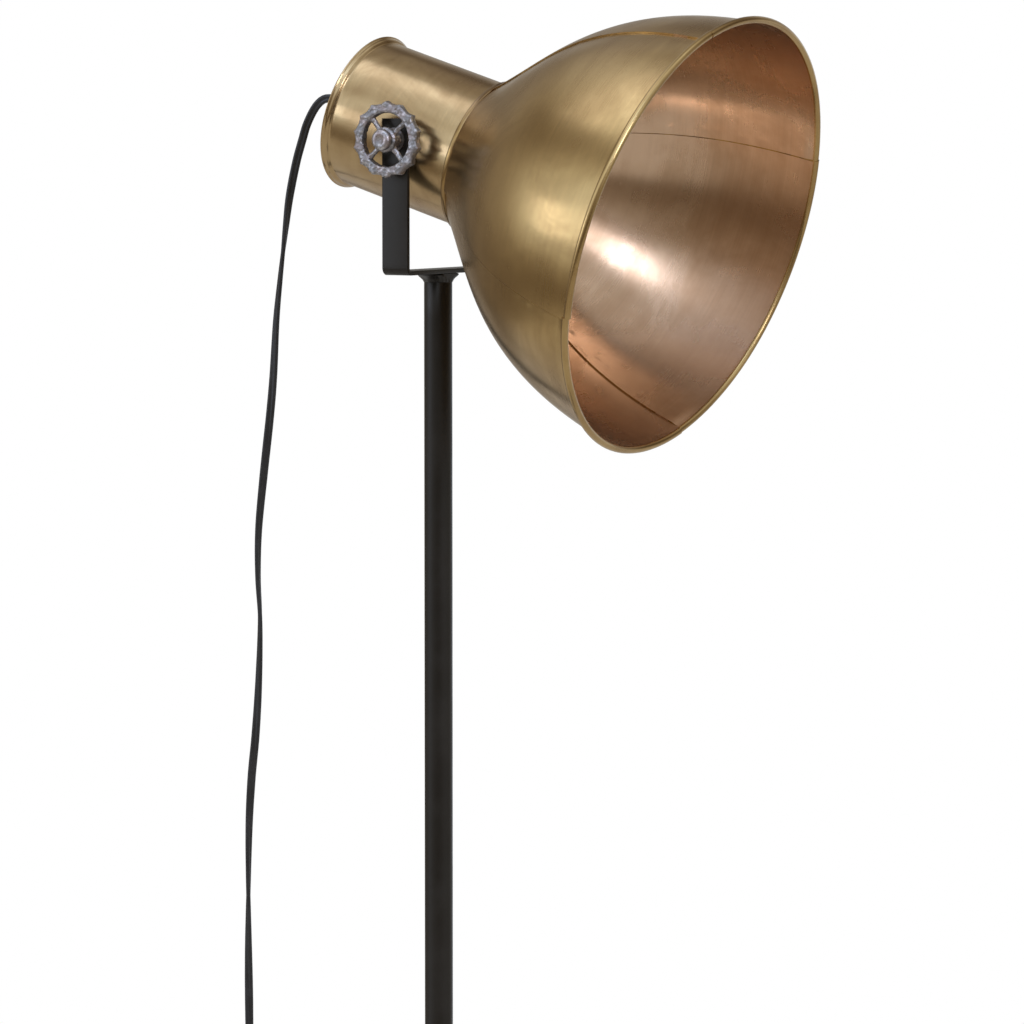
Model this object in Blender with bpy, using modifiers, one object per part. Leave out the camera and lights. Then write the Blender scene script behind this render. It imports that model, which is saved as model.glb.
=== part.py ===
"""Pharmacy floor lamp: a turned brass head in a steel yoke on a telescoping pole.

Metres, +Z up. The origin is on the floor at the pole's axis, the head looks along -Y,
and the head pivots about an axis parallel to X.
"""

import math

import bmesh
import bpy
from mathutils import Matrix, Vector

# ---------------------------------------------------------------- driving sizes

GAP = 0.0003                 # clearance left between pieces that touch
SOLID_STEPS = 28             # facets round a small turned piece
CAP_STEPS = 44               # facets round the head's cap
BASE_STEPS = 56              # facets round the base
DRILL_SPARE = 0.010          # how far a drill reaches past what it cuts, both ends together
FLOOR_REST = 0.0002          # air left under what lies on the floor

# Pivot and yoke
PIVOT_HEIGHT = 1.418
HEAD_TILT = math.radians(17.6)      # how far the head looks down at rest
YOKE_ROOM = 0.0015                  # between the cap and the strap
YOKE_THICKNESS = 0.003
YOKE_STRAP_WIDTH = 0.020
YOKE_DROP = 0.0899                  # pivot to the underside of the bar
YOKE_RISE = 0.014                   # pivot to the end of the strap
YOKE_BEND_RADIUS = 0.0035

# Head, along its own axis from the pivot; plus is towards the mouth
CAP_RADIUS = 0.0500
CAP_WALL = 0.0012
CAP_REAR = -0.0534
CAP_FRONT = 0.0437
REAR_LIP_LENGTH = 0.0056
REAR_LIP_FLARE = 0.0042
REAR_DISC_INSET = 0.0002
COLLAR_LENGTH = 0.0036
COLLAR_WALL = 0.0026
COLLAR_EDGE = 0.0007
SHADE_WALL = 0.0010
NECK_STEP = 0.0009                  # shade's neck outside the collar
NECK_SLOPE = math.radians(40.85)
NECK_PULL = 0.0602
SHADE_START = 0.0440
SHADE_END = 0.2065
SHADE_END_RADIUS = 0.1460
SHADE_END_SLOPE = math.radians(7.6)
SHADE_END_PULL = 0.0936
BEAD_RADIUS = 0.0020
BEAD_LEAD = 0.0004                  # bead's middle ahead of the sheet's end
SEAM_ANGLE = 21.0                   # degrees from the far pivot towards the head's top
SEAM_GAP = 0.25                     # degrees
PANELS = 4
PANEL_STEPS = 12
SHADE_POINTS = 11

# Lampholder
HOLDER_RADIUS = 0.0225
HOLDER_BORE = 0.0150
HOLDER_REAR = -0.030
HOLDER_FRONT = 0.022
HOLDER_FLOOR = 0.012                # thickness of the holder's rear wall
HOLDER_EDGE = 0.0010
HOLDER_SHOULDER = 0.0060
SLEEVE_WALL = 0.0014
SLEEVE_INSET = 0.0020
INSULATOR_THICKNESS = 0.0040
CONTACT_RADIUS = 0.0040
CONTACT_HEIGHT = 0.0027
CONTACT_EDGE = 0.0010
NIPPLE_RADIUS = 0.0052
NIPPLE_BORE = 0.0034
NIPPLE_REAR = -0.060
NIPPLE_INSET = 0.0010               # nipple's front end behind the holder's floor
NUT_LENGTH = 0.0030
NUT_RADIUS = 0.0090
GLAND_LENGTH = 0.0106
GLAND_RADIUS = 0.0085
GLAND_CHAMFER = 0.0020
BOOT_LENGTH = 0.0224
BOOT_ROOT_RADIUS = 0.0060
BOOT_TIP_RADIUS = 0.0042
BOOT_ROOT_LENGTH = 0.0040
BOOT_ROOT_TAPER = 0.0004
BOOT_TIP_EDGE = 0.0009

# Handwheels and their bolts
WHEEL_LOBES = 14
WHEEL_RADIUS = 0.0248
WHEEL_LOBE_HEIGHT = 0.0008
WHEEL_HOLE_RADIUS = 0.0188
WHEEL_THICKNESS = 0.0066
WHEEL_EDGE = 0.0012
WHEEL_PLANE = 0.0067                # hub's inner face to the middle of the rim
WHEEL_HUB_RADIUS = 0.0066
WHEEL_HUB_LENGTH = 0.0122
HUB_COLLAR_HEIGHT = 0.0018
HUB_COLLAR_LENGTH = 0.0020
HUB_COLLAR_SLOPE = 0.0012
SPOKE_WIDTH = 0.0040
SPOKE_THICKNESS = 0.0044
SPOKE_ANGLE = 40.0
SPOKE_ROOT = 0.0020                 # how deep a spoke runs into the rim
BOLT_RADIUS = 0.0030
BOLT_HEAD_RADIUS = 0.0060
BOLT_HEAD_LENGTH = 0.0045
BOLT_SOCKET_DEPTH = 0.0008
BOLT_EDGE = 0.0010
WASHER_RADIUS = 0.0080
OUTER_WASHER = 0.0012
WELD_NUT_RADIUS = 0.0070
WELD_NUT_LENGTH = 0.0045

# Pole
UPPER_RADIUS = 0.0095
UPPER_WALL = 0.0012
WELD_FLARE = 0.0040
WELD_HEIGHT = 0.0060
GUIDE_WALL = 0.0015                 # guide bush, with its running gaps
LOWER_WALL = 0.0015
LOWER_TOP = 0.700
GUIDE_LENGTH = 0.080
GUIDE_FLANGE = 0.0020
END_FLANGE = 0.0060
END_PLUG_LENGTH = 0.016
LOCK_BELOW_TOP = 0.018              # lock screw below the outer tube's top
LOCK_COLLAR_LENGTH = 0.028
LOCK_COLLAR_WALL = 0.0065
LOCK_COLLAR_EDGE = 0.0015
LOCK_BOSS_RADIUS = 0.0080
LOCK_BOSS_ROOT = 0.0030             # boss starts this far outside the outer tube
LOCK_BOSS_REACH = 0.0175            # and ends this far outside it

# Base
BASE_RADIUS = 0.150
BASE_THICKNESS = 0.008
BASE_EDGE = 0.0030
BASE_LOWER_EDGE = 0.0010
FELT_THICKNESS = 0.0020
FELT_INSET = 0.0040
BASE_COLLAR_WALL = 0.0075
BASE_COLLAR_HEIGHT = 0.025
BASE_COLLAR_TAPER = 0.0015
BASE_COLLAR_TAPER_HEIGHT = 0.0130
BASE_COLLAR_EDGE = 0.0020
FOOT_LENGTH = 0.036
FOOT_CROWN = 0.0055                 # closed end of the threaded foot
BASE_BOLT_RADIUS = 0.0050
BASE_BOLT_HEAD_RADIUS = 0.0085
BASE_BOLT_HEAD = 0.0034
BASE_BOLT_END_GAP = 0.0005
BASE_WASHER = 0.0012
BASE_WASHER_RADIUS = 0.0100
COUNTERBORE_RADIUS = 0.0115
COUNTERBORE_DEPTH = 0.0055

# Cord, switch and plug
CORD_RADIUS = 0.0029
SWITCH_TOP = 0.775
SWITCH_LENGTH = 0.068
SWITCH_WIDTH = 0.026
SWITCH_DEPTH = 0.018
SWITCH_EDGE = 0.0025
SWITCH_X = 0.0
SWITCH_Y = 0.1545
ROCKER_LENGTH = 0.020
ROCKER_WIDTH = 0.012
ROCKER_PIVOT_DEPTH = 0.0030         # rocker's axis behind the cover's face
ROCKER_TIP = math.radians(7)        # either way from level
ROCKER_SIDE_ROOM = 0.0005
ROCKER_END_ROOM = 0.0008
ROCKER_SLOT_DEPTH = 0.0065
ROCKER_END_HEIGHT = 0.0042          # rocker's ends above its axis
ROCKER_BACK = 0.0015                # its back behind its axis, at the ends
ROCKER_BACK_MIDDLE = 0.0025
ROCKER_END_SLOPE = 0.0010
SWITCH_SCREW_SPACING = 0.048
SWITCH_SCREW_RADIUS = 0.0015
SWITCH_SCREW_LENGTH = 0.0110
SWITCH_SCREW_HEAD_RADIUS = 0.0026
SWITCH_SCREW_HEAD = 0.0014
SWITCH_SINK_RADIUS = 0.0030
SWITCH_SINK_DEPTH = 0.0020
COIL_X = 0.0
COIL_Y = 0.226
COIL_RADIUS = 0.0330                # to the middle of the turns
COIL_HALF_WIDTH = 0.0062
COIL_HEIGHT = 0.0095
COIL_EDGE = 0.0020
PLUG_X = -0.0530
PLUG_REAR = 0.1940
PLUG_LENGTH = 0.0250
PLUG_WIDTH = 0.0240
PLUG_REAR_WIDTH = 0.0110
PLUG_THICKNESS = 0.0136
PLUG_EDGE = 0.0016
PLUG_SHOULDER = 0.55                # share of the plug's length that widens
PIN_TIP = 0.0012
PIN_RADIUS = 0.0020
PIN_LENGTH = 0.0190
PIN_SPACING = 0.0186

# Places that follow from the sizes above
PIVOT = Vector((0.0, 0.0, PIVOT_HEIGHT))
PLATE_BOTTOM = FELT_THICKNESS + GAP
PLATE_TOP = PLATE_BOTTOM + BASE_THICKNESS
STAND_BOTTOM = PLATE_TOP + GAP
LOWER_BORE = UPPER_RADIUS + GUIDE_WALL
LOWER_RADIUS = LOWER_BORE + LOWER_WALL
WELD_RADIUS = UPPER_RADIUS + WELD_FLARE
LOCK_HEIGHT = LOWER_TOP - LOCK_BELOW_TOP
LOCK_COLLAR_RADIUS = LOWER_RADIUS + LOCK_COLLAR_WALL
LOCK_BOSS_END = LOWER_RADIUS + LOCK_BOSS_REACH
BASE_COLLAR_RADIUS = LOWER_RADIUS + BASE_COLLAR_WALL
GUIDE_BOTTOM = LOWER_TOP - GUIDE_LENGTH
BOLT_BORE = BOLT_RADIUS + GAP
STRAP_INNER = CAP_RADIUS + YOKE_ROOM
YOKE_HALF_WIDTH = STRAP_INNER + YOKE_THICKNESS
NECK_RADIUS = CAP_RADIUS + GAP + COLLAR_WALL + NECK_STEP
DISC_REAR = CAP_REAR + REAR_DISC_INSET
DISC_FRONT = DISC_REAR + CAP_WALL


# ---------------------------------------------------------------- scene helpers

def clear_scene():
    """Remove every object of the startup scene."""
    for item in list(bpy.data.objects):
        bpy.data.objects.remove(item, do_unlink=True)


def new_collection(name):
    """A collection linked to the scene."""
    found = bpy.data.collections.new(name)
    bpy.context.scene.collection.children.link(found)
    return found


def finish_material(name, colour, roughness, metallic):
    """A plain Principled finish."""
    made = bpy.data.materials.new(name)
    made.use_nodes = True
    shader = made.node_tree.nodes["Principled BSDF"]
    shader.inputs["Base Color"].default_value = (*colour, 1.0)
    shader.inputs["Roughness"].default_value = roughness
    shader.inputs["Metallic"].default_value = metallic
    return made


def place(item, material, parent=None, location=(0, 0, 0), rotation=(0, 0, 0), where=None):
    """Link an object to its collection and put it on its parent."""
    (where or PARTS).objects.link(item)
    if material:
        item.data.materials.append(material)
    item.location = location
    item.rotation_euler = rotation
    item.parent = parent
    return item


def empty(name, location, rotation):
    """A frame that pieces are placed in."""
    item = bpy.data.objects.new(name, None)
    GUIDES.objects.link(item)
    item.location = location
    item.rotation_euler = rotation
    item.hide_render = True
    return item


def screw(item, steps, angle=2 * math.pi):
    """Turn an object's profile about its Z axis."""
    turn = item.modifiers.new("turn", "SCREW")
    turn.axis = "Z"
    turn.angle = angle
    turn.steps = steps
    turn.render_steps = steps
    turn.use_merge_vertices = angle >= 2 * math.pi
    turn.merge_threshold = 0.00001
    turn.use_smooth_shade = True
    return item


def profile_mesh(name, points, closed):
    """A chain of edges in the XZ plane from (radius, height) pairs."""
    mesh = bpy.data.meshes.new(name)
    count = len(points)
    edges = [(i, i + 1) for i in range(count - 1)]
    if closed:
        edges.append((count - 1, 0))
    mesh.from_pydata([(r, 0.0, z) for r, z in points], edges, [])
    return mesh


def turned(name, points, material, closed=False, steps=SOLID_STEPS, **spot):
    """A turned piece: its profile runs down the outer side at +X."""
    item = bpy.data.objects.new(name, profile_mesh(name, points, closed))
    place(item, material, **spot)
    return screw(item, steps)


def disc(name, radius, low, high, material, edge=0.0, **spot):
    """A solid round piece, its top edge eased by a chamfer."""
    points = [(0, high), (radius - edge, high), (radius, high - edge), (radius, low), (0, low)]
    if edge == 0.0:
        points = [(0, high), (radius, high), (radius, low), (0, low)]
    return turned(name, points, material, **spot)


def ring(name, bore, radius, low, high, material, **spot):
    """A round piece with a plain bore."""
    points = [(bore, high), (radius, high), (radius, low), (bore, low)]
    return turned(name, points, material, closed=True, **spot)


def hex_nut(name, bore, radius, low, high, material, **spot):
    """A six-sided nut; its bore is six-sided too and clears a round bolt."""
    clear = bore / math.cos(math.pi / 6)
    return ring(name, clear, radius, low, high, material, steps=6, **spot)


def solid_box(name, size, material, **spot):
    """A box centred on its own origin."""
    mesh = bpy.data.meshes.new(name)
    work = bmesh.new()
    bmesh.ops.create_cube(work, size=1.0)
    for vert in work.verts:
        vert.co = Vector([c * s for c, s in zip(vert.co, size)])
    work.to_mesh(mesh)
    work.free()
    return place(bpy.data.objects.new(name, mesh), material, **spot)


def rod(name, radius, length, material, sides=SOLID_STEPS, **spot):
    """A cylinder centred on its own origin, along its Z axis."""
    mesh = bpy.data.meshes.new(name)
    work = bmesh.new()
    bmesh.ops.create_cone(
        work, cap_ends=True, segments=sides, radius1=radius, radius2=radius, depth=length
    )
    work.to_mesh(mesh)
    work.free()
    return place(bpy.data.objects.new(name, mesh), material, **spot)


def as_tool(item):
    """Turn an object into a cutter that the build leaves out."""
    item.hide_render = True
    item.display_type = "WIRE"
    return item


def boolean(target, tool, operation="DIFFERENCE"):
    """Cut or join a piece with a tool object."""
    step = target.modifiers.new(operation.lower(), "BOOLEAN")
    step.operation = operation
    step.solver = "EXACT"
    step.object = as_tool(tool)
    return target


def bevel(item, width, segments=2):
    """Round the edges of a piece."""
    step = item.modifiers.new("bevel", "BEVEL")
    step.width = width
    step.segments = segments
    step.limit_method = "ANGLE"
    step.angle_limit = math.radians(50)
    return item


def baked(item, name):
    """The evaluated mesh of an object, welded, as a new mesh."""
    bpy.context.view_layer.update()
    seen = item.evaluated_get(bpy.context.evaluated_depsgraph_get())
    mesh = bpy.data.meshes.new_from_object(seen)
    mesh.name = name
    work = bmesh.new()
    work.from_mesh(mesh)
    bmesh.ops.remove_doubles(work, verts=work.verts, dist=0.00001)
    work.to_mesh(mesh)
    work.free()
    return mesh


def arc_points(centre, radius, start, end, count):
    """Points on an arc, as pairs, angles in degrees."""
    found = []
    for i in range(count + 1):
        angle = math.radians(start + (end - start) * i / count)
        found.append((centre[0] + radius * math.cos(angle), centre[1] + radius * math.sin(angle)))
    return found


# ---------------------------------------------------------------- stand

def make_base():
    """Felt, weighted plate, bolt, washer and collar."""
    disc("base_felt", BASE_RADIUS - FELT_INSET, 0.0, FELT_THICKNESS, FELT,
         steps=BASE_STEPS)
    ceiling = PLATE_BOTTOM + COUNTERBORE_DEPTH
    outer = arc_points((BASE_RADIUS - BASE_EDGE, PLATE_TOP - BASE_EDGE), BASE_EDGE, 90, 0, 3)
    lower_edge = [
        (BASE_RADIUS, PLATE_BOTTOM + BASE_LOWER_EDGE),
        (BASE_RADIUS - BASE_LOWER_EDGE, PLATE_BOTTOM),
    ]
    hole = BASE_BOLT_RADIUS + GAP
    bore = [
        (COUNTERBORE_RADIUS, PLATE_BOTTOM),
        (COUNTERBORE_RADIUS, ceiling),
        (hole, ceiling),
        (hole, PLATE_TOP),
    ]
    turned("base_plate", outer + lower_edge + bore, POWDER_BLACK, closed=True,
           steps=BASE_STEPS)
    washer_top = ceiling - GAP
    ring("base_washer", hole, BASE_WASHER_RADIUS, washer_top - BASE_WASHER, washer_top, ZINC)
    head_top = washer_top - BASE_WASHER - GAP
    bolt_end = STAND_BOTTOM + FOOT_LENGTH - FOOT_CROWN - BASE_BOLT_END_GAP
    points = [
        (0, bolt_end),
        (BASE_BOLT_RADIUS, bolt_end),
        (BASE_BOLT_RADIUS, head_top),
        (BASE_BOLT_HEAD_RADIUS, head_top),
        (BASE_BOLT_HEAD_RADIUS, head_top - BASE_BOLT_HEAD),
        (0, head_top - BASE_BOLT_HEAD),
    ]
    turned("base_bolt", points, ZINC, steps=20)
    top = STAND_BOTTOM + BASE_COLLAR_HEIGHT
    bore_r = LOWER_RADIUS + GAP
    points = [
        (bore_r, top),
        (BASE_COLLAR_RADIUS - BASE_COLLAR_TAPER - BASE_COLLAR_EDGE, top),
        (BASE_COLLAR_RADIUS - BASE_COLLAR_TAPER, top - BASE_COLLAR_EDGE),
        (BASE_COLLAR_RADIUS, top - BASE_COLLAR_EDGE - BASE_COLLAR_TAPER_HEIGHT),
        (BASE_COLLAR_RADIUS, STAND_BOTTOM),
        (bore_r, STAND_BOTTOM),
    ]
    turned("base_collar", points, POWDER_BLACK, closed=True)


def make_lower_pole():
    """Outer tube, its threaded foot, the guide bush and the lock collar."""
    lock_hole = BOLT_BORE
    tube = ring("lower_tube", LOWER_BORE, LOWER_RADIUS, STAND_BOTTOM, LOWER_TOP, POWDER_BLACK)
    boolean(tube, lock_drill("tube_drill", lock_hole))
    bolt_bore = BASE_BOLT_RADIUS + GAP
    radius = LOWER_BORE - GAP
    top = STAND_BOTTOM + FOOT_LENGTH
    points = [
        (0, top),
        (radius, top),
        (radius, STAND_BOTTOM),
        (bolt_bore, STAND_BOTTOM),
        (bolt_bore, top - FOOT_CROWN),
        (0, top - FOOT_CROWN),
    ]
    turned("tube_foot", points, ZINC, steps=20)
    flange_top = LOWER_TOP + GAP + GUIDE_FLANGE
    points = [
        (UPPER_RADIUS + GAP, flange_top),
        (LOWER_RADIUS, flange_top),
        (LOWER_RADIUS, LOWER_TOP + GAP),
        (LOWER_BORE - GAP, LOWER_TOP + GAP),
        (LOWER_BORE - GAP, GUIDE_BOTTOM),
        (UPPER_RADIUS + GAP, GUIDE_BOTTOM),
    ]
    bush = turned("guide_bush", points, NYLON, closed=True)
    boolean(bush, lock_drill("bush_drill", lock_hole))
    make_lock_collar(lock_hole)


def lock_drill(name, radius):
    """A drill for the lock screw, along -X from inside the pole."""
    length = LOCK_BOSS_END + DRILL_SPARE / 2
    return rod(name, radius, length, None, sides=20, where=CUTTERS,
               location=(-length / 2, 0, LOCK_HEIGHT), rotation=(0, math.radians(90), 0))


def make_lock_collar(hole):
    """Clamp ring with a boss for the lock screw."""
    low = LOCK_HEIGHT - LOCK_COLLAR_LENGTH / 2
    high = LOCK_HEIGHT + LOCK_COLLAR_LENGTH / 2
    bore = LOWER_RADIUS + GAP
    edge = LOCK_COLLAR_EDGE
    points = [
        (bore, high),
        (LOCK_COLLAR_RADIUS - edge, high),
        (LOCK_COLLAR_RADIUS, high - edge),
        (LOCK_COLLAR_RADIUS, low + edge),
        (LOCK_COLLAR_RADIUS - edge, low),
        (bore, low),
    ]
    collar = turned("lock_collar", points, POWDER_BLACK, closed=True)
    boss_start = LOWER_RADIUS + LOCK_BOSS_ROOT
    length = LOCK_BOSS_END - boss_start
    boss = rod("boss_tool", LOCK_BOSS_RADIUS, length, None, where=CUTTERS,
               location=(-(boss_start + LOCK_BOSS_END) / 2, 0, LOCK_HEIGHT),
               rotation=(0, math.radians(90), 0))
    boolean(collar, boss, "UNION")
    boolean(collar, lock_drill("collar_drill", hole))


# ---------------------------------------------------------------- handwheels

def wheel_mesh():
    """Cast handwheel: scalloped rim, four spokes and a hub, bored for its bolt."""
    outline = bpy.data.curves.new("wheel_outline", "CURVE")
    outline.dimensions = "2D"
    outline.fill_mode = "BOTH"
    outline.extrude = WHEEL_THICKNESS / 2 - WHEEL_EDGE
    outline.bevel_depth = WHEEL_EDGE
    outline.bevel_resolution = 0
    add_ring_spline(outline, WHEEL_LOBES * 4, scallop)
    add_ring_spline(outline, 24, lambda angle: WHEEL_HOLE_RADIUS)
    rim = place(bpy.data.objects.new("wheel_rim", outline), None, where=CUTTERS)
    body = bpy.data.objects.new("wheel_body", baked(rim, "wheel_rim"))
    place(body, None, where=CUTTERS)
    bpy.data.objects.remove(rim, do_unlink=True)
    for i in range(2):
        spoke = solid_box(
            f"spoke_{i + 1}",
            (2 * (WHEEL_HOLE_RADIUS + SPOKE_ROOT), SPOKE_WIDTH, SPOKE_THICKNESS),
            None, where=CUTTERS, rotation=(0, 0, math.radians(SPOKE_ANGLE + 90 * i)),
        )
        boolean(body, spoke, "UNION")
    hub_low = -WHEEL_PLANE
    hub_high = WHEEL_HUB_LENGTH - WHEEL_PLANE
    collar = WHEEL_HUB_RADIUS + HUB_COLLAR_HEIGHT
    collar_high = hub_high - HUB_COLLAR_SLOPE
    collar_low = collar_high - HUB_COLLAR_LENGTH
    points = [
        (0, hub_high),
        (WHEEL_HUB_RADIUS, hub_high),
        (collar, collar_high),
        (collar, collar_low),
        (WHEEL_HUB_RADIUS, collar_low - HUB_COLLAR_SLOPE),
        (WHEEL_HUB_RADIUS, hub_low),
        (0, hub_low),
    ]
    hub = turned("hub_tool", points, None, where=CUTTERS, steps=20)
    boolean(body, hub, "UNION")
    drill = rod("hub_drill", BOLT_BORE, 2 * WHEEL_HUB_LENGTH + DRILL_SPARE, None, sides=20,
                where=CUTTERS)
    boolean(body, drill)
    mesh = baked(body, "handwheel")
    mesh.transform(Matrix.Translation((0, 0, WHEEL_PLANE)))
    as_tool(body)
    return mesh


def scallop(angle):
    """Radius of the rim's lobed outline."""
    return WHEEL_RADIUS + WHEEL_LOBE_HEIGHT * math.cos(WHEEL_LOBES * angle)


def add_ring_spline(curve, count, radius_at):
    """A closed spline round the origin."""
    spline = curve.splines.new("POLY")
    spline.points.add(count - 1)
    for i in range(count):
        angle = 2 * math.pi * i / count
        radius = radius_at(angle)
        spline.points[i].co = (radius * math.cos(angle), radius * math.sin(angle), 0, 1)
    spline.use_cyclic_u = True


def make_wheel(name, frame, seat, bolt_tip, mesh):
    """A handwheel and its bolt; the frame's +Z points outwards along the bolt."""
    wheel = place(bpy.data.objects.new(name, mesh), None, parent=frame, location=(0, 0, seat))
    if not mesh.materials:
        mesh.materials.append(CAST_IRON)
    head_low = seat + WHEEL_HUB_LENGTH + GAP
    head_high = head_low + BOLT_HEAD_LENGTH
    edge = BOLT_EDGE
    points = [
        (0, head_high - BOLT_SOCKET_DEPTH),
        (BOLT_HEAD_RADIUS * 0.45, head_high),
        (BOLT_HEAD_RADIUS - edge, head_high),
        (BOLT_HEAD_RADIUS, head_high - edge),
        (BOLT_HEAD_RADIUS, head_low),
        (BOLT_RADIUS, head_low),
        (BOLT_RADIUS, bolt_tip),
        (0, bolt_tip),
    ]
    turned(name + "_bolt", points, CAST_IRON, steps=20, parent=frame)
    return wheel


# ---------------------------------------------------------------- mast

def make_mast():
    """Inner tube with its weld, end bush and yoke."""
    top = PIVOT_HEIGHT - YOKE_DROP - GAP
    bore = UPPER_RADIUS - UPPER_WALL
    bottom = GUIDE_BOTTOM
    flare = WELD_RADIUS - UPPER_RADIUS
    points = [
        (bore, top),
        (WELD_RADIUS, top),
        (UPPER_RADIUS + flare * 0.45, top - WELD_HEIGHT * 0.35),
        (UPPER_RADIUS + flare * 0.12, top - WELD_HEIGHT * 0.7),
        (UPPER_RADIUS, top - WELD_HEIGHT),
        (UPPER_RADIUS, bottom),
        (bore, bottom),
    ]
    tube = turned("upper_tube", points, POWDER_BLACK, closed=True)
    half = YOKE_STRAP_WIDTH / 2
    for side in (-1, 1):
        trim = solid_box(f"weld_trim_{side + 2}", (4 * WELD_RADIUS, WELD_RADIUS, 0.020), None,
                         where=CUTTERS, location=(0, side * (half + WELD_RADIUS / 2), top))
        boolean(tube, trim)
    plug = bore - GAP
    flange_top = bottom - GAP
    points = [
        (0, flange_top + END_PLUG_LENGTH),
        (plug, flange_top + END_PLUG_LENGTH),
        (plug, flange_top),
        (LOWER_BORE - GAP, flange_top),
        (LOWER_BORE - GAP, flange_top - END_FLANGE),
        (0, flange_top - END_FLANGE),
    ]
    turned("end_bush", points, NYLON)
    make_yoke()


def yoke_path():
    """Middle line of the U strap, from one end to the other, as (x, z) pairs."""
    middle = YOKE_HALF_WIDTH - YOKE_THICKNESS / 2
    low = -YOKE_DROP + YOKE_THICKNESS / 2
    r = YOKE_BEND_RADIUS
    left = arc_points((-middle + r, low + r), r, 180, 270, 5)
    right = arc_points((middle - r, low + r), r, 270, 360, 5)
    return [(-middle, YOKE_RISE)] + left + right + [(middle, YOKE_RISE)]


def make_yoke():
    """A flat bar bent to a U, drilled for the two pivot bolts."""
    mesh = bpy.data.meshes.new("yoke")
    half = YOKE_STRAP_WIDTH / 2
    path = yoke_path()
    verts = [(x, y, z) for x, z in path for y in (-half, half)]
    faces = [(2 * i, 2 * i + 1, 2 * i + 3, 2 * i + 2) for i in range(len(path) - 1)]
    mesh.from_pydata(verts, [], faces)
    yoke = place(bpy.data.objects.new("yoke", mesh), POWDER_BLACK, location=PIVOT)
    skin = yoke.modifiers.new("thickness", "SOLIDIFY")
    skin.thickness = YOKE_THICKNESS
    skin.offset = 0.0
    drill = rod("yoke_drill", BOLT_BORE, 2 * YOKE_HALF_WIDTH + DRILL_SPARE, None, sides=24,
                where=CUTTERS, location=PIVOT, rotation=(0, math.radians(90), 0))
    boolean(yoke, drill)


# ---------------------------------------------------------------- head

def make_cap(head):
    """Cylinder behind the shade, its rear lip rolled outwards, and its end disc."""
    half = CAP_WALL / 2
    middle = CAP_RADIUS - half
    lip = [
        (middle, CAP_REAR),
        (middle + REAR_LIP_FLARE * 0.25, CAP_REAR - REAR_LIP_LENGTH * 0.35),
        (middle + REAR_LIP_FLARE * 0.75, CAP_REAR - REAR_LIP_LENGTH * 0.60),
        (middle + REAR_LIP_FLARE, CAP_REAR - REAR_LIP_LENGTH * 0.88),
    ]
    points = [(middle, CAP_FRONT), (middle, 0.0)] + lip
    cap = turned("rear_cap", points, BRASS, steps=CAP_STEPS, parent=head)
    skin = cap.modifiers.new("wall", "SOLIDIFY")
    skin.thickness = CAP_WALL
    skin.offset = 0.0
    drill = rod("cap_drill", BOLT_BORE, 2 * CAP_RADIUS + DRILL_SPARE, None, sides=24,
                where=CUTTERS, parent=head, rotation=(0, math.radians(90), 0))
    boolean(cap, drill)
    radius = CAP_RADIUS - CAP_WALL - GAP
    ring("rear_disc", NIPPLE_RADIUS + GAP, radius, DISC_REAR, DISC_FRONT, BRASS,
         steps=CAP_STEPS, parent=head)
    inner = CAP_RADIUS + GAP
    outer = inner + COLLAR_WALL
    front = SHADE_START - GAP
    points = [
        (inner, front),
        (outer - COLLAR_EDGE, front),
        (outer, front - COLLAR_EDGE),
        (outer, front - COLLAR_LENGTH + COLLAR_EDGE),
        (outer - COLLAR_EDGE, front - COLLAR_LENGTH),
        (inner, front - COLLAR_LENGTH),
    ]
    turned("neck_collar", points, BRASS, closed=True, steps=CAP_STEPS, parent=head)


def shade_profile():
    """Middle line of the shade's sheet, mouth first: rolled edge, then the dome."""
    half = SHADE_WALL / 2
    start = Vector((NECK_RADIUS - half, SHADE_START))
    end = Vector((SHADE_END_RADIUS - half, SHADE_END))
    leave = start + NECK_PULL * Vector((math.sin(NECK_SLOPE), math.cos(NECK_SLOPE)))
    arrive = end - SHADE_END_PULL * Vector((math.sin(SHADE_END_SLOPE), math.cos(SHADE_END_SLOPE)))
    dome = []
    for i in range(SHADE_POINTS):
        t = i / (SHADE_POINTS - 1)
        point = ((1 - t) ** 3 * start + 3 * (1 - t) ** 2 * t * leave
                 + 3 * (1 - t) * t * t * arrive + t ** 3 * end)
        dome.append((point.x, point.y))
    centre = (end.x + BEAD_RADIUS, end.y + BEAD_LEAD)
    roll = arc_points(centre, BEAD_RADIUS, 180, -60, 5)
    return list(reversed(dome + roll[1:]))


def make_shade(head):
    """Four gores of sheet, each with its share of the rolled mouth edge."""
    sweep = math.radians(360 / PANELS - SEAM_GAP)
    for i in range(PANELS):
        turn = math.radians(SEAM_ANGLE + 360 / PANELS * i + SEAM_GAP / 2)
        name = f"shade_panel_{i + 1}"
        item = bpy.data.objects.new(name, profile_mesh(name, shade_profile(), False))
        place(item, BRASS, parent=head, rotation=(0, 0, turn))
        screw(item, PANEL_STEPS, sweep)
        skin = item.modifiers.new("sheet", "SOLIDIFY")
        skin.thickness = SHADE_WALL
        skin.offset = 0.0


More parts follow.
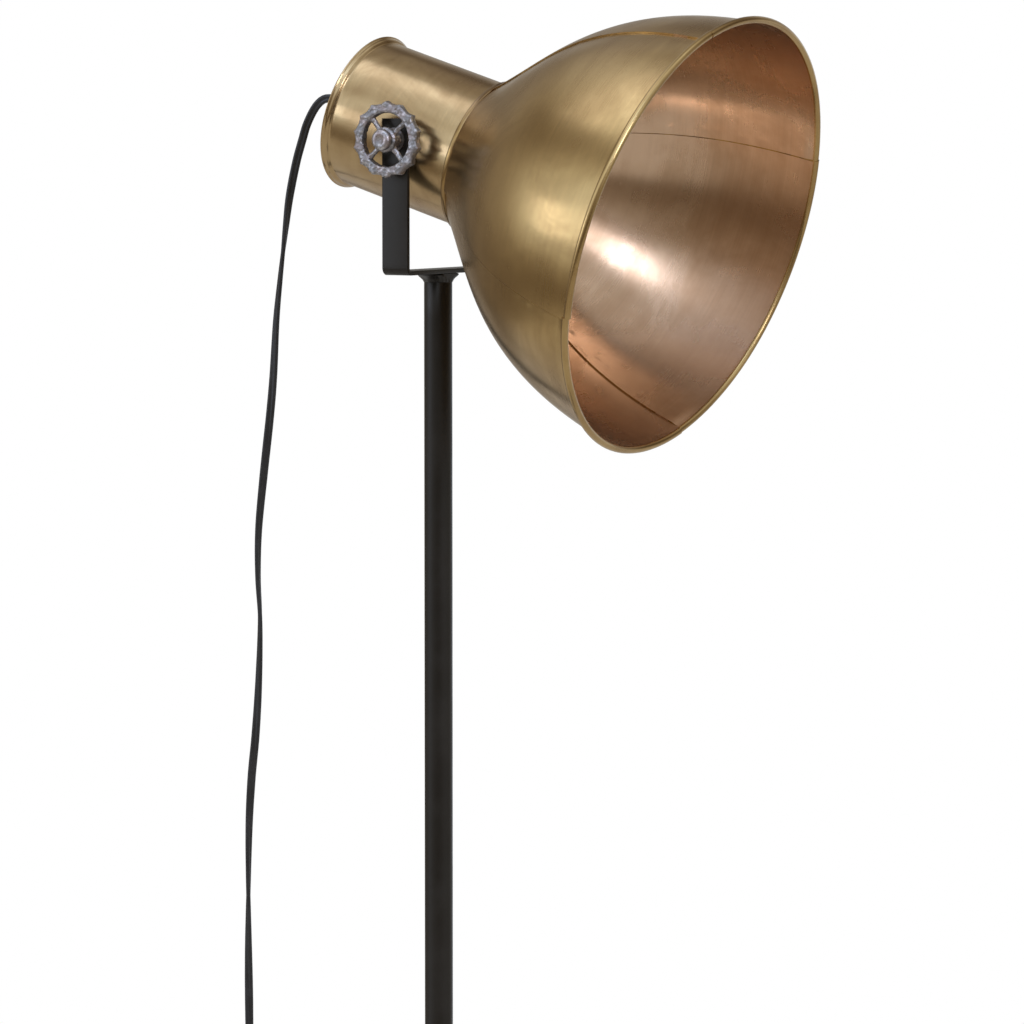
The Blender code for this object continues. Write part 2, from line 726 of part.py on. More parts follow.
def make_pivot_side(side, frame, wheel):
    """Weld nut, washers, handwheel and bolt of one pivot."""
    inner_wall = CAP_RADIUS - CAP_WALL
    flat = math.sqrt(inner_wall ** 2 - WELD_NUT_RADIUS ** 2) - GAP
    hex_nut(f"{side}_weld_nut", BOLT_BORE, WELD_NUT_RADIUS, flat - WELD_NUT_LENGTH, flat,
            ZINC, parent=frame)
    ring(f"{side}_inner_washer", BOLT_BORE, WASHER_RADIUS, CAP_RADIUS + GAP,
         STRAP_INNER - GAP, ZINC, steps=20, parent=frame)
    washer_low = YOKE_HALF_WIDTH + GAP
    ring(f"{side}_outer_washer", BOLT_BORE, WASHER_RADIUS, washer_low,
         washer_low + OUTER_WASHER, CAST_IRON, steps=20, parent=frame)
    make_wheel(f"{side}_wheel", frame, washer_low + OUTER_WASHER + GAP,
               flat - WELD_NUT_LENGTH, wheel)


def make_lampholder(head):
    """Holder body, threaded sleeve, insulator, contact and the nipple that carries them."""
    floor = HOLDER_REAR + HOLDER_FLOOR
    hole = NIPPLE_RADIUS + GAP
    points = [
        (HOLDER_BORE, HOLDER_FRONT),
        (HOLDER_RADIUS - HOLDER_EDGE, HOLDER_FRONT),
        (HOLDER_RADIUS, HOLDER_FRONT - HOLDER_EDGE),
        (HOLDER_RADIUS, HOLDER_REAR + HOLDER_SHOULDER),
        (HOLDER_RADIUS - HOLDER_SHOULDER, HOLDER_REAR),
        (hole, HOLDER_REAR),
        (hole, floor),
        (HOLDER_BORE, floor),
    ]
    turned("lampholder_body", points, PORCELAIN, closed=True, parent=head)
    fit = HOLDER_BORE - GAP
    seat_low = floor + GAP
    seat_high = seat_low + INSULATOR_THICKNESS
    disc("lampholder_insulator", fit, seat_low, seat_high, PORCELAIN, parent=head)
    ring("lampholder_sleeve", fit - SLEEVE_WALL, fit, seat_high + GAP,
         HOLDER_FRONT - SLEEVE_INSET, CONTACT_BRASS, parent=head)
    disc("lampholder_contact", CONTACT_RADIUS, seat_high + GAP, seat_high + GAP + CONTACT_HEIGHT,
         CONTACT_BRASS, edge=CONTACT_EDGE, steps=20, parent=head)
    ring("nipple", NIPPLE_BORE, NIPPLE_RADIUS, NIPPLE_REAR, floor - NIPPLE_INSET, ZINC,
         steps=20, parent=head)
    low = DISC_FRONT + GAP
    hex_nut("nipple_nut", hole, NUT_RADIUS, low, low + NUT_LENGTH, ZINC, parent=head)
    high = HOLDER_REAR - GAP
    hex_nut("holder_nut", hole, NUT_RADIUS, high - NUT_LENGTH, high, ZINC, parent=head)
    make_gland(head, hole)


def make_gland(head, hole):
    """Screwed gland behind the rear disc and the rubber boot on it."""
    top = DISC_REAR - GAP
    low = top - GLAND_LENGTH
    seat = NIPPLE_REAR - GAP
    points = [
        (hole, top),
        (GLAND_RADIUS, top),
        (GLAND_RADIUS, low + GLAND_CHAMFER),
        (GLAND_RADIUS - GLAND_CHAMFER, low),
        (0, low),
        (0, seat),
        (hole, seat),
    ]
    turned("cord_gland", open_at_axis(points), BLACK_PLASTIC, steps=20, parent=head)
    start = low - GAP
    points = [
        (0, start),
        (BOOT_ROOT_RADIUS, start),
        (BOOT_ROOT_RADIUS - BOOT_ROOT_TAPER, start - BOOT_ROOT_LENGTH),
        (BOOT_TIP_RADIUS, start - BOOT_LENGTH + BOOT_TIP_EDGE),
        (BOOT_TIP_RADIUS - BOOT_TIP_EDGE, start - BOOT_LENGTH),
        (0, start - BOOT_LENGTH),
    ]
    turned("strain_relief", points, RUBBER, steps=20, parent=head)


def open_at_axis(points):
    """Order a cup's profile so that it starts and ends on the axis."""
    at = [i for i, (r, _) in enumerate(points) if r == 0]
    return points[at[1]:] + points[:at[0] + 1]


# ---------------------------------------------------------------- cord

# Middle of the cord, from the boot down to the switch
UPPER_ROUTE = [
    (0, 0.0830, 1.4443), (0, 0.0868, 1.4455), (0, 0.0908, 1.4459), (0, 0.0950, 1.4446),
    (0, 0.0990, 1.4412), (0, 0.1025, 1.4357), (0, 0.1056, 1.4287), (0, 0.1092, 1.4187),
    (0, 0.1137, 1.4030), (0, 0.1172, 1.3870), (0, 0.1198, 1.3705), (0, 0.1218, 1.3522),
    (0, 0.1262, 1.3208), (0, 0.1293, 1.2930), (0, 0.1317, 1.2560), (0, 0.1346, 1.2280),
    (0, 0.1400, 1.1870), (0, 0.1443, 1.1490), (0, 0.1450, 1.1170), (0, 0.1434, 1.0850),
    (0, 0.1448, 1.0430), (0, 0.1475, 1.0070), (0, 0.1512, 0.9750), (0, 0.1535, 0.9360),
    (0, 0.1543, 0.8720), (0, 0.1545, 0.8150), (0, 0.1545, 0.7753),
]
# From the switch down to just above the floor
DROP_ROUTE = [
    (0, 0.1545, 0.7067), (0, 0.1547, 0.6700), (0, 0.1556, 0.6000), (0, 0.1570, 0.5200),
    (0, 0.1586, 0.4400), (0, 0.1602, 0.3600), (0, 0.1618, 0.2800), (0, 0.1633, 0.2000),
    (0, 0.1645, 0.1300), (0, 0.1650, 0.0800),
]
# From there on to the floor and up to the side of the coil
FLOOR_ROUTE = [
    (0.0000, 0.1650, 0.0797), (0.0000, 0.1650, 0.0600), (0.0000, 0.1650, 0.0451),
    (0.0007, 0.1656, 0.0364), (0.0027, 0.1674, 0.0280), (0.0061, 0.1702, 0.0204),
    (0.0106, 0.1740, 0.0139), (0.0160, 0.1786, 0.0087), (0.0220, 0.1839, 0.0052),
    (0.0272, 0.1888, 0.0035), (0.0311, 0.1932, 0.0031), (0.0357, 0.1997, 0.0031),
    (0.0388, 0.2058, 0.0031), (0.0409, 0.2124, 0.0031), (0.0421, 0.2191, 0.0031),
    (0.0424, 0.2260, 0.0031),
]
# From the coil's other side to the plug
TAIL_ROUTE = [
    (-0.0424, 0.2260, 0.0031), (-0.0428, 0.2205, 0.0034), (-0.0442, 0.2148, 0.0042),
    (-0.0470, 0.2092, 0.0053), (-0.0502, 0.2042, 0.0063), (-0.0524, 0.1995, 0.0069),
    (-0.0530, 0.1966, 0.0070), (-0.0530, 0.1943, 0.0070),
]


def smooth(points, step):
    """Points about a step apart on a Catmull-Rom curve through the given ones."""
    vectors = [Vector(p) for p in points]
    ends = [2 * vectors[0] - vectors[1]] + vectors + [2 * vectors[-1] - vectors[-2]]
    found = [vectors[0]]
    for a, b, c, d in zip(ends, ends[1:], ends[2:], ends[3:]):
        count = max(1, round((c - b).length / step))
        for i in range(1, count + 1):
            t = i / count
            found.append(0.5 * (2 * b + (c - a) * t + (2 * a - 5 * b + 4 * c - d) * t * t
                                + (3 * b - a - 3 * c + d) * t ** 3))
    return found


def make_cord(name, route, step):
    """A plain round tube along a stretch of the cord."""
    curve = bpy.data.curves.new(name, "CURVE")
    curve.dimensions = "3D"
    curve.bevel_depth = CORD_RADIUS
    curve.bevel_resolution = 2
    curve.use_fill_caps = True
    points = smooth(route, step)
    spline = curve.splines.new("POLY")
    spline.points.add(len(points) - 1)
    for target, point in zip(spline.points, points):
        target.co = (*point, 1.0)
    return place(bpy.data.objects.new(name, curve), CORD_BLACK)


def make_switch():
    """Two half covers, a clamp screw and the rocker."""
    middle = SWITCH_TOP - SWITCH_LENGTH / 2
    half_depth = SWITCH_DEPTH / 2
    size = (SWITCH_WIDTH, half_depth - GAP / 2, SWITCH_LENGTH)
    offset = half_depth / 2 + GAP / 4
    back = solid_box("switch_back", size, BLACK_PLASTIC,
                     location=(SWITCH_X, SWITCH_Y - offset, middle))
    front = solid_box("switch_front", size, BLACK_PLASTIC,
                      location=(SWITCH_X, SWITCH_Y + offset, middle))
    bevel(back, SWITCH_EDGE)
    bevel(front, SWITCH_EDGE)
    face = SWITCH_Y + half_depth
    room = (ROCKER_WIDTH + 2 * ROCKER_SIDE_ROOM, 2 * ROCKER_SLOT_DEPTH,
            ROCKER_LENGTH + 2 * ROCKER_END_ROOM)
    slot = solid_box("rocker_slot", room, None, where=CUTTERS,
                     location=(SWITCH_X, face, middle))
    boolean(front, slot)
    make_rocker(face - ROCKER_PIVOT_DEPTH, middle)
    screw_low = SWITCH_Y - half_depth
    for index, side in enumerate((-1, 1)):
        level = middle + side * SWITCH_SCREW_SPACING / 2
        make_switch_screw(back, front, index, level, screw_low)


def make_switch_screw(back, front, index, level, low):
    """A small screw through the back half into the front half."""
    length = SWITCH_SCREW_LENGTH
    depth = length + DRILL_SPARE / 5
    across = dict(sides=16, where=CUTTERS, location=(SWITCH_X, low, level),
                  rotation=(math.radians(90), 0, 0))
    hole = rod(f"switch_drill_{index + 1}", SWITCH_SCREW_RADIUS + GAP, 2 * depth, None, **across)
    sink = rod(f"switch_sink_{index + 1}", SWITCH_SINK_RADIUS, 2 * SWITCH_SINK_DEPTH, None,
               **across)
    boolean(back, sink)
    boolean(back, hole)
    boolean(front, hole)
    points = [
        (0, 0.0),
        (SWITCH_SCREW_HEAD_RADIUS, 0.0),
        (SWITCH_SCREW_HEAD_RADIUS, -SWITCH_SCREW_HEAD),
        (SWITCH_SCREW_RADIUS, -SWITCH_SCREW_HEAD),
        (SWITCH_SCREW_RADIUS, -length),
        (0, -length),
    ]
    turned(f"switch_screw_{index + 1}", points, ZINC, steps=14,
           location=(SWITCH_X, low + GAP, level), rotation=(math.radians(90), 0, 0))


def make_rocker(axis_y, axis_z):
    """A rocker with a shallow V face, tipped to one side."""
    half = ROCKER_LENGTH / 2
    straight = [
        (-half, ROCKER_END_HEIGHT),
        (-half + ROCKER_END_SLOPE, -ROCKER_BACK),
        (0.0, -ROCKER_BACK_MIDDLE),
        (half - ROCKER_END_SLOPE, -ROCKER_BACK),
        (half, ROCKER_END_HEIGHT),
        (0.0, ROCKER_PIVOT_DEPTH),
    ]
    curve = bpy.data.curves.new("rocker", "CURVE")
    curve.dimensions = "2D"
    curve.fill_mode = "BOTH"
    curve.extrude = ROCKER_WIDTH / 2
    spline = curve.splines.new("POLY")
    spline.points.add(len(straight) - 1)
    sine, cosine = math.sin(ROCKER_TIP), math.cos(ROCKER_TIP)
    for target, (along, out) in zip(spline.points, straight):
        target.co = (along * cosine - out * sine, along * sine + out * cosine, 0, 1)
    spline.use_cyclic_u = True
    source = place(bpy.data.objects.new("rocker_source", curve), None, where=CUTTERS)
    mesh = baked(source, "switch_rocker")
    bpy.data.objects.remove(source, do_unlink=True)
    place(bpy.data.objects.new("switch_rocker", mesh), BLACK_PLASTIC,
          location=(SWITCH_X, axis_y, axis_z), rotation=(0, math.radians(-90), 0))


def make_coil():
    """The put-away lead as one ring of its outer shape."""
    inner = COIL_RADIUS - COIL_HALF_WIDTH
    outer = COIL_RADIUS + COIL_HALF_WIDTH
    edge = COIL_EDGE
    rest = FLOOR_REST
    points = [
        (inner + edge, COIL_HEIGHT),
        (outer - edge, COIL_HEIGHT),
        (outer, COIL_HEIGHT - edge),
        (outer, rest + edge),
        (outer - edge, rest),
        (inner + edge, rest),
        (inner, rest + edge),
        (inner, COIL_HEIGHT - edge),
    ]
    turned("cord_coil", points, CORD_BLACK, closed=True, steps=30,
           location=(COIL_X, COIL_Y, 0))


def make_plug():
    """A flat two-pin plug lying on its broad side, its pins towards the base."""
    outline = [
        (-PLUG_REAR_WIDTH / 2, 0.0),
        (PLUG_REAR_WIDTH / 2, 0.0),
        (PLUG_WIDTH / 2, -PLUG_LENGTH * PLUG_SHOULDER),
        (PLUG_WIDTH / 2, -PLUG_LENGTH),
        (-PLUG_WIDTH / 2, -PLUG_LENGTH),
        (-PLUG_WIDTH / 2, -PLUG_LENGTH * PLUG_SHOULDER),
    ]
    edge = PLUG_EDGE
    curve = bpy.data.curves.new("plug", "CURVE")
    curve.dimensions = "2D"
    curve.fill_mode = "BOTH"
    curve.extrude = PLUG_THICKNESS / 2 - edge
    curve.bevel_depth = edge
    curve.bevel_resolution = 1
    curve.offset = -edge
    spline = curve.splines.new("POLY")
    spline.points.add(len(outline) - 1)
    for target, (x, y) in zip(spline.points, outline):
        target.co = (x, y, 0, 1)
    spline.use_cyclic_u = True
    middle = PLUG_THICKNESS / 2 + FLOOR_REST
    place(bpy.data.objects.new("plug_body", curve), BLACK_PLASTIC,
          location=(PLUG_X, PLUG_REAR, middle))
    front = PLUG_REAR - PLUG_LENGTH - GAP
    for index, side in enumerate((-1, 1)):
        points = [
            (0, PIN_LENGTH),
            (PIN_RADIUS - PIN_TIP / 2, PIN_LENGTH),
            (PIN_RADIUS, PIN_LENGTH - PIN_TIP),
            (PIN_RADIUS, 0),
            (0, 0),
        ]
        turned(f"plug_pin_{index + 1}", points, CONTACT_BRASS, steps=16,
               location=(PLUG_X + side * PIN_SPACING / 2, front, middle),
               rotation=(math.radians(90), 0, 0))


# ---------------------------------------------------------------- build

def main():
    """Make every piece."""
    make_base()
    make_lower_pole()
    make_mast()
    head = empty("head_frame", PIVOT, (math.radians(90) + HEAD_TILT, 0, 0))
    make_cap(head)
    make_shade(head)
    wheel = wheel_mesh()
    left = empty("left_frame", PIVOT, (0, math.radians(-90), 0))
    right = empty("right_frame", PIVOT, (0, math.radians(90), 0))
    lock = empty("lock_frame", (0, 0, LOCK_HEIGHT), (0, math.radians(-90), 0))
    make_pivot_side("left", left, wheel)
    make_pivot_side("right", right, wheel)
    make_wheel("lock_wheel", lock, LOCK_BOSS_END + GAP, UPPER_RADIUS + GAP, wheel)
    make_lampholder(head)
    make_cord("cord_upper", UPPER_ROUTE, 0.013)
    make_cord("cord_drop", DROP_ROUTE, 0.020)
    make_cord("cord_floor", FLOOR_ROUTE, 0.008)
    make_cord("cord_tail", TAIL_ROUTE, 0.008)
    make_switch()
    make_coil()
    make_plug()


clear_scene()
PARTS = new_collection("pharmacy_lamp")
CUTTERS = new_collection("cutters")
GUIDES = new_collection("guides")
BRASS = finish_material("antique_brass", (0.42, 0.31, 0.15), 0.32, 1.0)
POWDER_BLACK = finish_material("black_powder_coat", (0.025, 0.024, 0.023), 0.42, 0.0)
CAST_IRON = finish_material("cast_gunmetal", (0.22, 0.20, 0.21), 0.45, 0.9)
ZINC = finish_material("zinc_plate", (0.62, 0.62, 0.60), 0.30, 1.0)
NYLON = finish_material("nylon", (0.08, 0.08, 0.08), 0.50, 0.0)
PORCELAIN = finish_material("porcelain", (0.80, 0.78, 0.73), 0.25, 0.0)
CONTACT_BRASS = finish_material("contact_brass", (0.72, 0.55, 0.24), 0.30, 1.0)
BLACK_PLASTIC = finish_material("black_plastic", (0.018, 0.018, 0.018), 0.38, 0.0)
RUBBER = finish_material("rubber", (0.02, 0.02, 0.02), 0.70, 0.0)
CORD_BLACK = finish_material("cord_sheath", (0.016, 0.016, 0.016), 0.50, 0.0)
FELT = finish_material("felt", (0.03, 0.03, 0.03), 0.95, 0.0)
main()
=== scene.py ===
"""Pharmacy floor lamp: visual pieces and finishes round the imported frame."""

import math

import bmesh
import bpy
from bpy.props import FloatProperty, FloatVectorProperty, IntProperty, PointerProperty
from mathutils import Matrix, Vector, noise


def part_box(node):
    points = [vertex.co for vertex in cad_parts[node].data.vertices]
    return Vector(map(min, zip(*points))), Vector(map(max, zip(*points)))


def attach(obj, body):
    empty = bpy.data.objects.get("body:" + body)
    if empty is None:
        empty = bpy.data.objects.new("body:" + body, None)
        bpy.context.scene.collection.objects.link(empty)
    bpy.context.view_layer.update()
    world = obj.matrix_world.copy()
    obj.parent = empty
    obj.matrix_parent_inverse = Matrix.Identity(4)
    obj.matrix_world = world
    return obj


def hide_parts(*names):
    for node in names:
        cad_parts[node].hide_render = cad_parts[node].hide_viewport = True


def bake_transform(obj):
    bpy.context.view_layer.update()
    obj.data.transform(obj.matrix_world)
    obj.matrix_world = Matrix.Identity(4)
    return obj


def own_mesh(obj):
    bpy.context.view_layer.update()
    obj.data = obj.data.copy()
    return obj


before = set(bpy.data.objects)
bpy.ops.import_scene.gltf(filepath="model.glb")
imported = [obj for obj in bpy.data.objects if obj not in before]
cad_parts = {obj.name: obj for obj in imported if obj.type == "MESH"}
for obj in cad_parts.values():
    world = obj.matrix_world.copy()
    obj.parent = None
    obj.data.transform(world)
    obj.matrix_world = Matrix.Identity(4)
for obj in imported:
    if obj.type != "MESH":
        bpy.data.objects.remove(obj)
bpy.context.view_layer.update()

bl_info = {
    "name": "Pharmacy floor lamp",
    "version": (1, 0, 0),
    "blender": (4, 5, 0),
    "location": "View3D > Sidebar > Lamp",
    "description": "Makes the lamp's pieces, cords, finishes and studio round its frame",
    "category": "Object",
}

# ---- fixed places, in metres

PIVOT = Vector((0.0, 0.0, 1.418))
HEAD_TILT = math.radians(17.6)
HEAD = Matrix.Translation(PIVOT) @ Matrix.Rotation(math.pi / 2 + HEAD_TILT, 4, "X")
LOCK_POINT = Vector((0.0, 0.0, 0.682))
LEFTWARDS = Matrix.Rotation(-math.pi / 2, 4, "Y")
RIGHTWARDS = Matrix.Rotation(math.pi / 2, 4, "Y")
GAP = 0.0003

# Middle of the cord as (y, z), from the boot down to the switch
UPPER_ROUTE = [
    (0.0830, 1.4443), (0.0849, 1.4447), (0.0868, 1.4449), (0.0890, 1.4448), (0.0912, 1.4442),
    (0.0934, 1.4430), (0.0954, 1.4414), (0.0973, 1.4395), (0.1012, 1.4340), (0.1053, 1.4262),
    (0.1080, 1.4185), (0.1105, 1.4112), (0.1131, 1.4032), (0.1168, 1.3888), (0.1198, 1.3745),
    (0.1222, 1.3580), (0.1236, 1.3480), (0.1272, 1.3208), (0.1304, 1.2930), (0.1329, 1.2560),
    (0.1358, 1.2280), (0.1412, 1.1870), (0.1455, 1.1490), (0.1462, 1.1170), (0.1446, 1.0850),
    (0.1460, 1.0430), (0.1487, 1.0070), (0.1523, 0.9750), (0.1546, 0.9360), (0.1553, 0.8720),
    (0.1549, 0.8150), (0.1545, 0.7753),
]
# From the switch down to just above the floor, as (y, z)
DROP_ROUTE = [
    (0.1545, 0.7067), (0.1547, 0.6700), (0.1556, 0.6000), (0.1570, 0.5200), (0.1586, 0.4400),
    (0.1602, 0.3600), (0.1618, 0.2800), (0.1633, 0.2000), (0.1645, 0.1300), (0.1650, 0.0800),
]
# From there on to the floor and up to the side of the coil
FLOOR_ROUTE = [
    (0.0000, 0.1650, 0.0797), (0.0000, 0.1650, 0.0600), (0.0000, 0.1650, 0.0451),
    (0.0007, 0.1656, 0.0364), (0.0027, 0.1674, 0.0280), (0.0061, 0.1702, 0.0204),
    (0.0106, 0.1740, 0.0139), (0.0160, 0.1786, 0.0087), (0.0220, 0.1839, 0.0048),
    (0.0272, 0.1888, 0.0026), (0.0311, 0.1932, 0.0019), (0.0357, 0.1997, 0.0018),
    (0.0388, 0.2058, 0.0018), (0.0409, 0.2124, 0.0018), (0.0421, 0.2191, 0.0018),
    (0.0424, 0.2260, 0.0018),
]
# From the coil's other side to the plug
TAIL_ROUTE = [
    (-0.0424, 0.2260, 0.0031), (-0.0428, 0.2205, 0.0034), (-0.0442, 0.2148, 0.0042),
    (-0.0470, 0.2092, 0.0053), (-0.0502, 0.2042, 0.0063), (-0.0524, 0.1995, 0.0069),
    (-0.0530, 0.1966, 0.0070), (-0.0530, 0.1943, 0.0070),
]
COIL_CENTRE = (0.0, 0.2260)
COIL_OUTER = 0.0361
COIL_INNER = 0.0299
COIL_ENDS = 0.0424
COIL_LAYERS = (0.0018, 0.0049, 0.0080)
COIL_TURNS = 4.5
COIL_STEP = 0.0022
LEAVE_COIL = 0.0031
CORD_STEP = 0.0025


# ---- what a user would change

def size(name, description, default, low=0.0, high=1.0, unit="LENGTH"):
    """A length, angle or plain number in a settings group."""
    return FloatProperty(name=name, description=description, default=default,
                         min=low, max=high, unit=unit, precision=5)


def level(name, description, default, high=60.0):
    """A brightness in a settings group."""
    return size(name, description, default, 0.0, high, "NONE")


def colour(name, description, default):
    """A colour in a settings group, as linear red, green and blue."""
    return FloatVectorProperty(name=name, description=description, default=default,
                               size=3, subtype="COLOR", min=0.0, max=1.0)


class LampSizes(bpy.types.PropertyGroup):
    """Sizes of what this file shapes, in metres"""

    sheet: size("Shade sheet", "Thickness of the shade's brass sheet", 0.0010)
    lap: size("Seam lap", "How far one gore of the shade laps over the next", 0.0042)
    bead: size("Bead radius", "Radius of the middle of the rolled mouth edge", 0.0020)
    wobble: size("Sheet wobble", "Height of the soft waves in the worked sheet", 0.00016)
    cord_width: size("Cord width", "Width of the flat two-core cord", 0.0058)
    cord_thickness: size("Cord thickness", "Thickness of the flat two-core cord", 0.0030)
    lobes: IntProperty(name="Wheel lobes", description="Finger lobes round each handwheel",
                       default=14, min=3, max=40)
    lobe_depth: size("Lobe depth", "Depth of the hollows between the lobes", 0.0019)
    casting: size("Casting roughness", "Height of the lumps in the cast wheels", 0.00034)
    bar_edge: size("Bar edge", "Radius of the yoke bar's eased edges", 0.00045)


class LampColours(bpy.types.PropertyGroup):
    """Linear colours of the finishes"""

    brass: colour("Brass", "Worn brass, where it is brightest", (0.50, 0.330, 0.128))
    cap: colour("Cap", "Brass of the cap", (0.505, 0.350, 0.168))
    cap_aged: colour("Cap, aged", "Patina of the cap", (0.325, 0.196, 0.078))
    brass_aged: colour("Aged brass", "Brass under its brown patina", (0.350, 0.212, 0.072))
    inner: colour("Inside brass", "Inside of the shade", (0.665, 0.455, 0.292))
    inner_aged: colour("Aged inside", "Darker clouds inside the shade", (0.475, 0.292, 0.160))
    # dark colour of the seam lines: painted shade of each lap's step, with dirt; also the neck
    # ring's darker tone
    grime: colour("Seam grime", "Dark line along the gores' seams", (0.17, 0.100, 0.055))
    black_coat: colour("Black coat", "Powder coat of pole, yoke and base", (0.0064, 0.0053, 0.0046))
    casting: colour("Cast metal", "Handwheels and bolts", (0.385, 0.362, 0.352))
    zinc: colour("Zinc", "Plated nuts and washers", (0.56, 0.57, 0.58))
    nylon: colour("Nylon", "Bushes of the sliding tube", (0.72, 0.70, 0.64))
    porcelain: colour("Porcelain", "Lampholder body", (0.80, 0.78, 0.73))
    contact: colour("Contact brass", "Screw shell, contact and pins", (0.66, 0.49, 0.22))
    plastic: colour("Black plastic", "Switch, gland and plug", (0.022, 0.022, 0.023))
    rubber: colour("Rubber", "Boot on the cord", (0.018, 0.018, 0.018))
    cord: colour("Cord", "Sheath of the cord", (0.012, 0.011, 0.011))
    felt: colour("Felt", "Pad under the base", (0.030, 0.030, 0.032))


class LampLights(bpy.types.PropertyGroup):
    """Lens, lights and floor of the stage"""

    lens: size("Lens", "Camera lens in millimetres", 189.45, 10.0, 400.0, "NONE")
    ambient: level("Room light", "Brightness of the room on dull surfaces", 0.80, 4.0)
    key: level("Side box", "Brightness of the box light behind the left side", 2.6)
    front: level("Front box", "Brightness of the box light in front of the mouth", 10.0)
    strip: level("Strip box", "Brightness of the narrow light beside the wheel", 2.1)
    top: level("Overhead", "Brightness of the broad light overhead", 1.0, 20.0)
    floor: colour("Floor", "Pale floor", (0.870, 0.855, 0.820))


# ---- mesh helpers

def polar(radius, angle, height):
    """The point at a radius, an angle in radians and a height about Z."""
    return Vector((radius * math.cos(angle), radius * math.sin(angle), height))


def turns(steps):
    """Even angles of one full turn, in radians."""
    return [2 * math.pi * i / steps for i in range(steps)]


def run_at(points, i):
    """The step from the point before to the point after, as far as there are any."""
    return points[min(i + 1, len(points) - 1)] - points[max(i - 1, 0)]


def outward(step):
    """The unit normal to the right of a step in a flat outline."""
    return Vector((step.y, -step.x)).normalized()


def lengths_along(points):
    """How far each point lies along the path, from 0."""
    found = [0.0]
    for a, b in zip(points, points[1:]):
        found.append(found[-1] + (b - a).length)
    return found


def skin(rings, wrap=True, join=False, caps=False):
    """Quads through rings of points; UVs are turn (0 to 1) across and metres along each ring."""
    work = bmesh.new()
    layer = work.loops.layers.uv.new("turned")
    verts = [[work.verts.new(p) for p in ring] for ring in rings]
    count = len(rings[0])
    rows = lengths_along(rings[0] + rings[0][:1])
    spans = len(rings) if join else len(rings) - 1
    for i in range(spans):
        here, there = verts[i], verts[(i + 1) % len(rings)]
        for j in range(count if wrap else count - 1):
            k = (j + 1) % count
            face = work.faces.new((here[j], here[k], there[k], there[j]))
            u0, u1 = i / spans, (i + 1) / spans
            for loop, uv in zip(face.loops, ((u0, rows[j]), (u0, rows[j + 1]),
                                             (u1, rows[j + 1]), (u1, rows[j]))):
                loop[layer].uv = uv
    if caps:
        for ring in (verts[0], verts[-1]):
            work.faces.new(ring)
    return work


def turned(outline, steps=96, closed=True):
    """A round piece from (radius, height) pairs; an open outline starts and ends on the axis."""
    rings = [[polar(r, a, z) for r, z in outline] for a in turns(steps)]
    work = skin(rings, wrap=closed, join=True)
    bmesh.ops.remove_doubles(work, verts=work.verts, dist=1e-7)
    return work


def arc(centre, radius, start, end, count):
    """Points on an arc as pairs, angles in degrees."""
    found = []
    for i in range(count + 1):
        a = math.radians(start + (end - start) * i / count)
        found.append((centre[0] + radius * math.cos(a), centre[1] + radius * math.sin(a)))
    return found


def eased(corners, radii, count=4):
    """A closed outline with its corners rounded; a radius of 0 keeps a corner sharp."""
    found = []
    for i, (corner, radius) in enumerate(zip(corners, radii)):
        here = Vector(corner)
        if radius == 0:
            found.append(tuple(here))
            continue
        back = (Vector(corners[i - 1]) - here).normalized()
        on = (Vector(corners[(i + 1) % len(corners)]) - here).normalized()
        half = back.angle(on) / 2
        reach = radius / math.tan(half)
        middle = here + (back + on).normalized() * (radius / math.sin(half))
        first, last = here + back * reach - middle, here + on * reach - middle
        swing = math.pi - 2 * half
        for k in range(count + 1):
            t = k / count
            spoke = first * math.sin((1 - t) * swing) + last * math.sin(t * swing)
            found.append(tuple(middle + spoke / math.sin(swing)))
    return found


def to_mesh(name, work):
    """A mesh from a bmesh, which is used up."""
    mesh = bpy.data.meshes.new(name)
    work.to_mesh(mesh)
    work.free()
    return mesh


def from_mesh(mesh, work):
    """The bmesh with a mesh added to it, which is used up."""
    work.from_mesh(mesh)
    bpy.data.meshes.remove(mesh)
    return work


def made(name, work, matrix=None, crease=38.0, recalc=True):
    """A mesh from a bmesh, smooth but for edges sharper than the crease angle."""
    if matrix is not None:
        work.transform(matrix)
    if recalc:
        bmesh.ops.recalc_face_normals(work, faces=work.faces)
    limit = math.radians(crease)
    for face in work.faces:
        face.smooth = True
    for edge in work.edges:
        edge.smooth = len(edge.link_faces) != 2 or edge.calc_face_angle(0.0) < limit
    return to_mesh(name, work)


def placed(name, data):
    """A new object in the scene."""
    item = bpy.data.objects.new(name, data)
    bpy.context.scene.collection.objects.link(item)
    return item


def piece(name, work, body, slot, looks, replaced=(), **making):
    """Put a bmesh in the scene as a piece that moves with a body, in the finishes named."""
    item = placed(name, made(name, work, **making))
    for look in looks:
        item.data.materials.append(finish(look))
    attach(item, body)
    if replaced:
        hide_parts(*replaced)
    return item


def modified(work, *steps):
    """A bmesh after some modifiers, each a (type, settings) pair."""
    source = to_mesh("source", work)
    item = placed("source", source)
    for kind, values in steps:
        step = item.modifiers.new(kind.lower(), kind)
        for key, value in values.items():
            setattr(step, key, value)
    bpy.context.view_layer.update()
    seen = item.evaluated_get(bpy.context.evaluated_depsgraph_get())
    done = from_mesh(bpy.data.meshes.new_from_object(seen), bmesh.new())
    done.normal_update()
    bpy.data.objects.remove(item, do_unlink=True)
    bpy.data.meshes.remove(source)
    return done


def joined(first, *others):
    """Several bmeshes as one."""
    for other in others:
        from_mesh(to_mesh("spare", other), first)
    return first


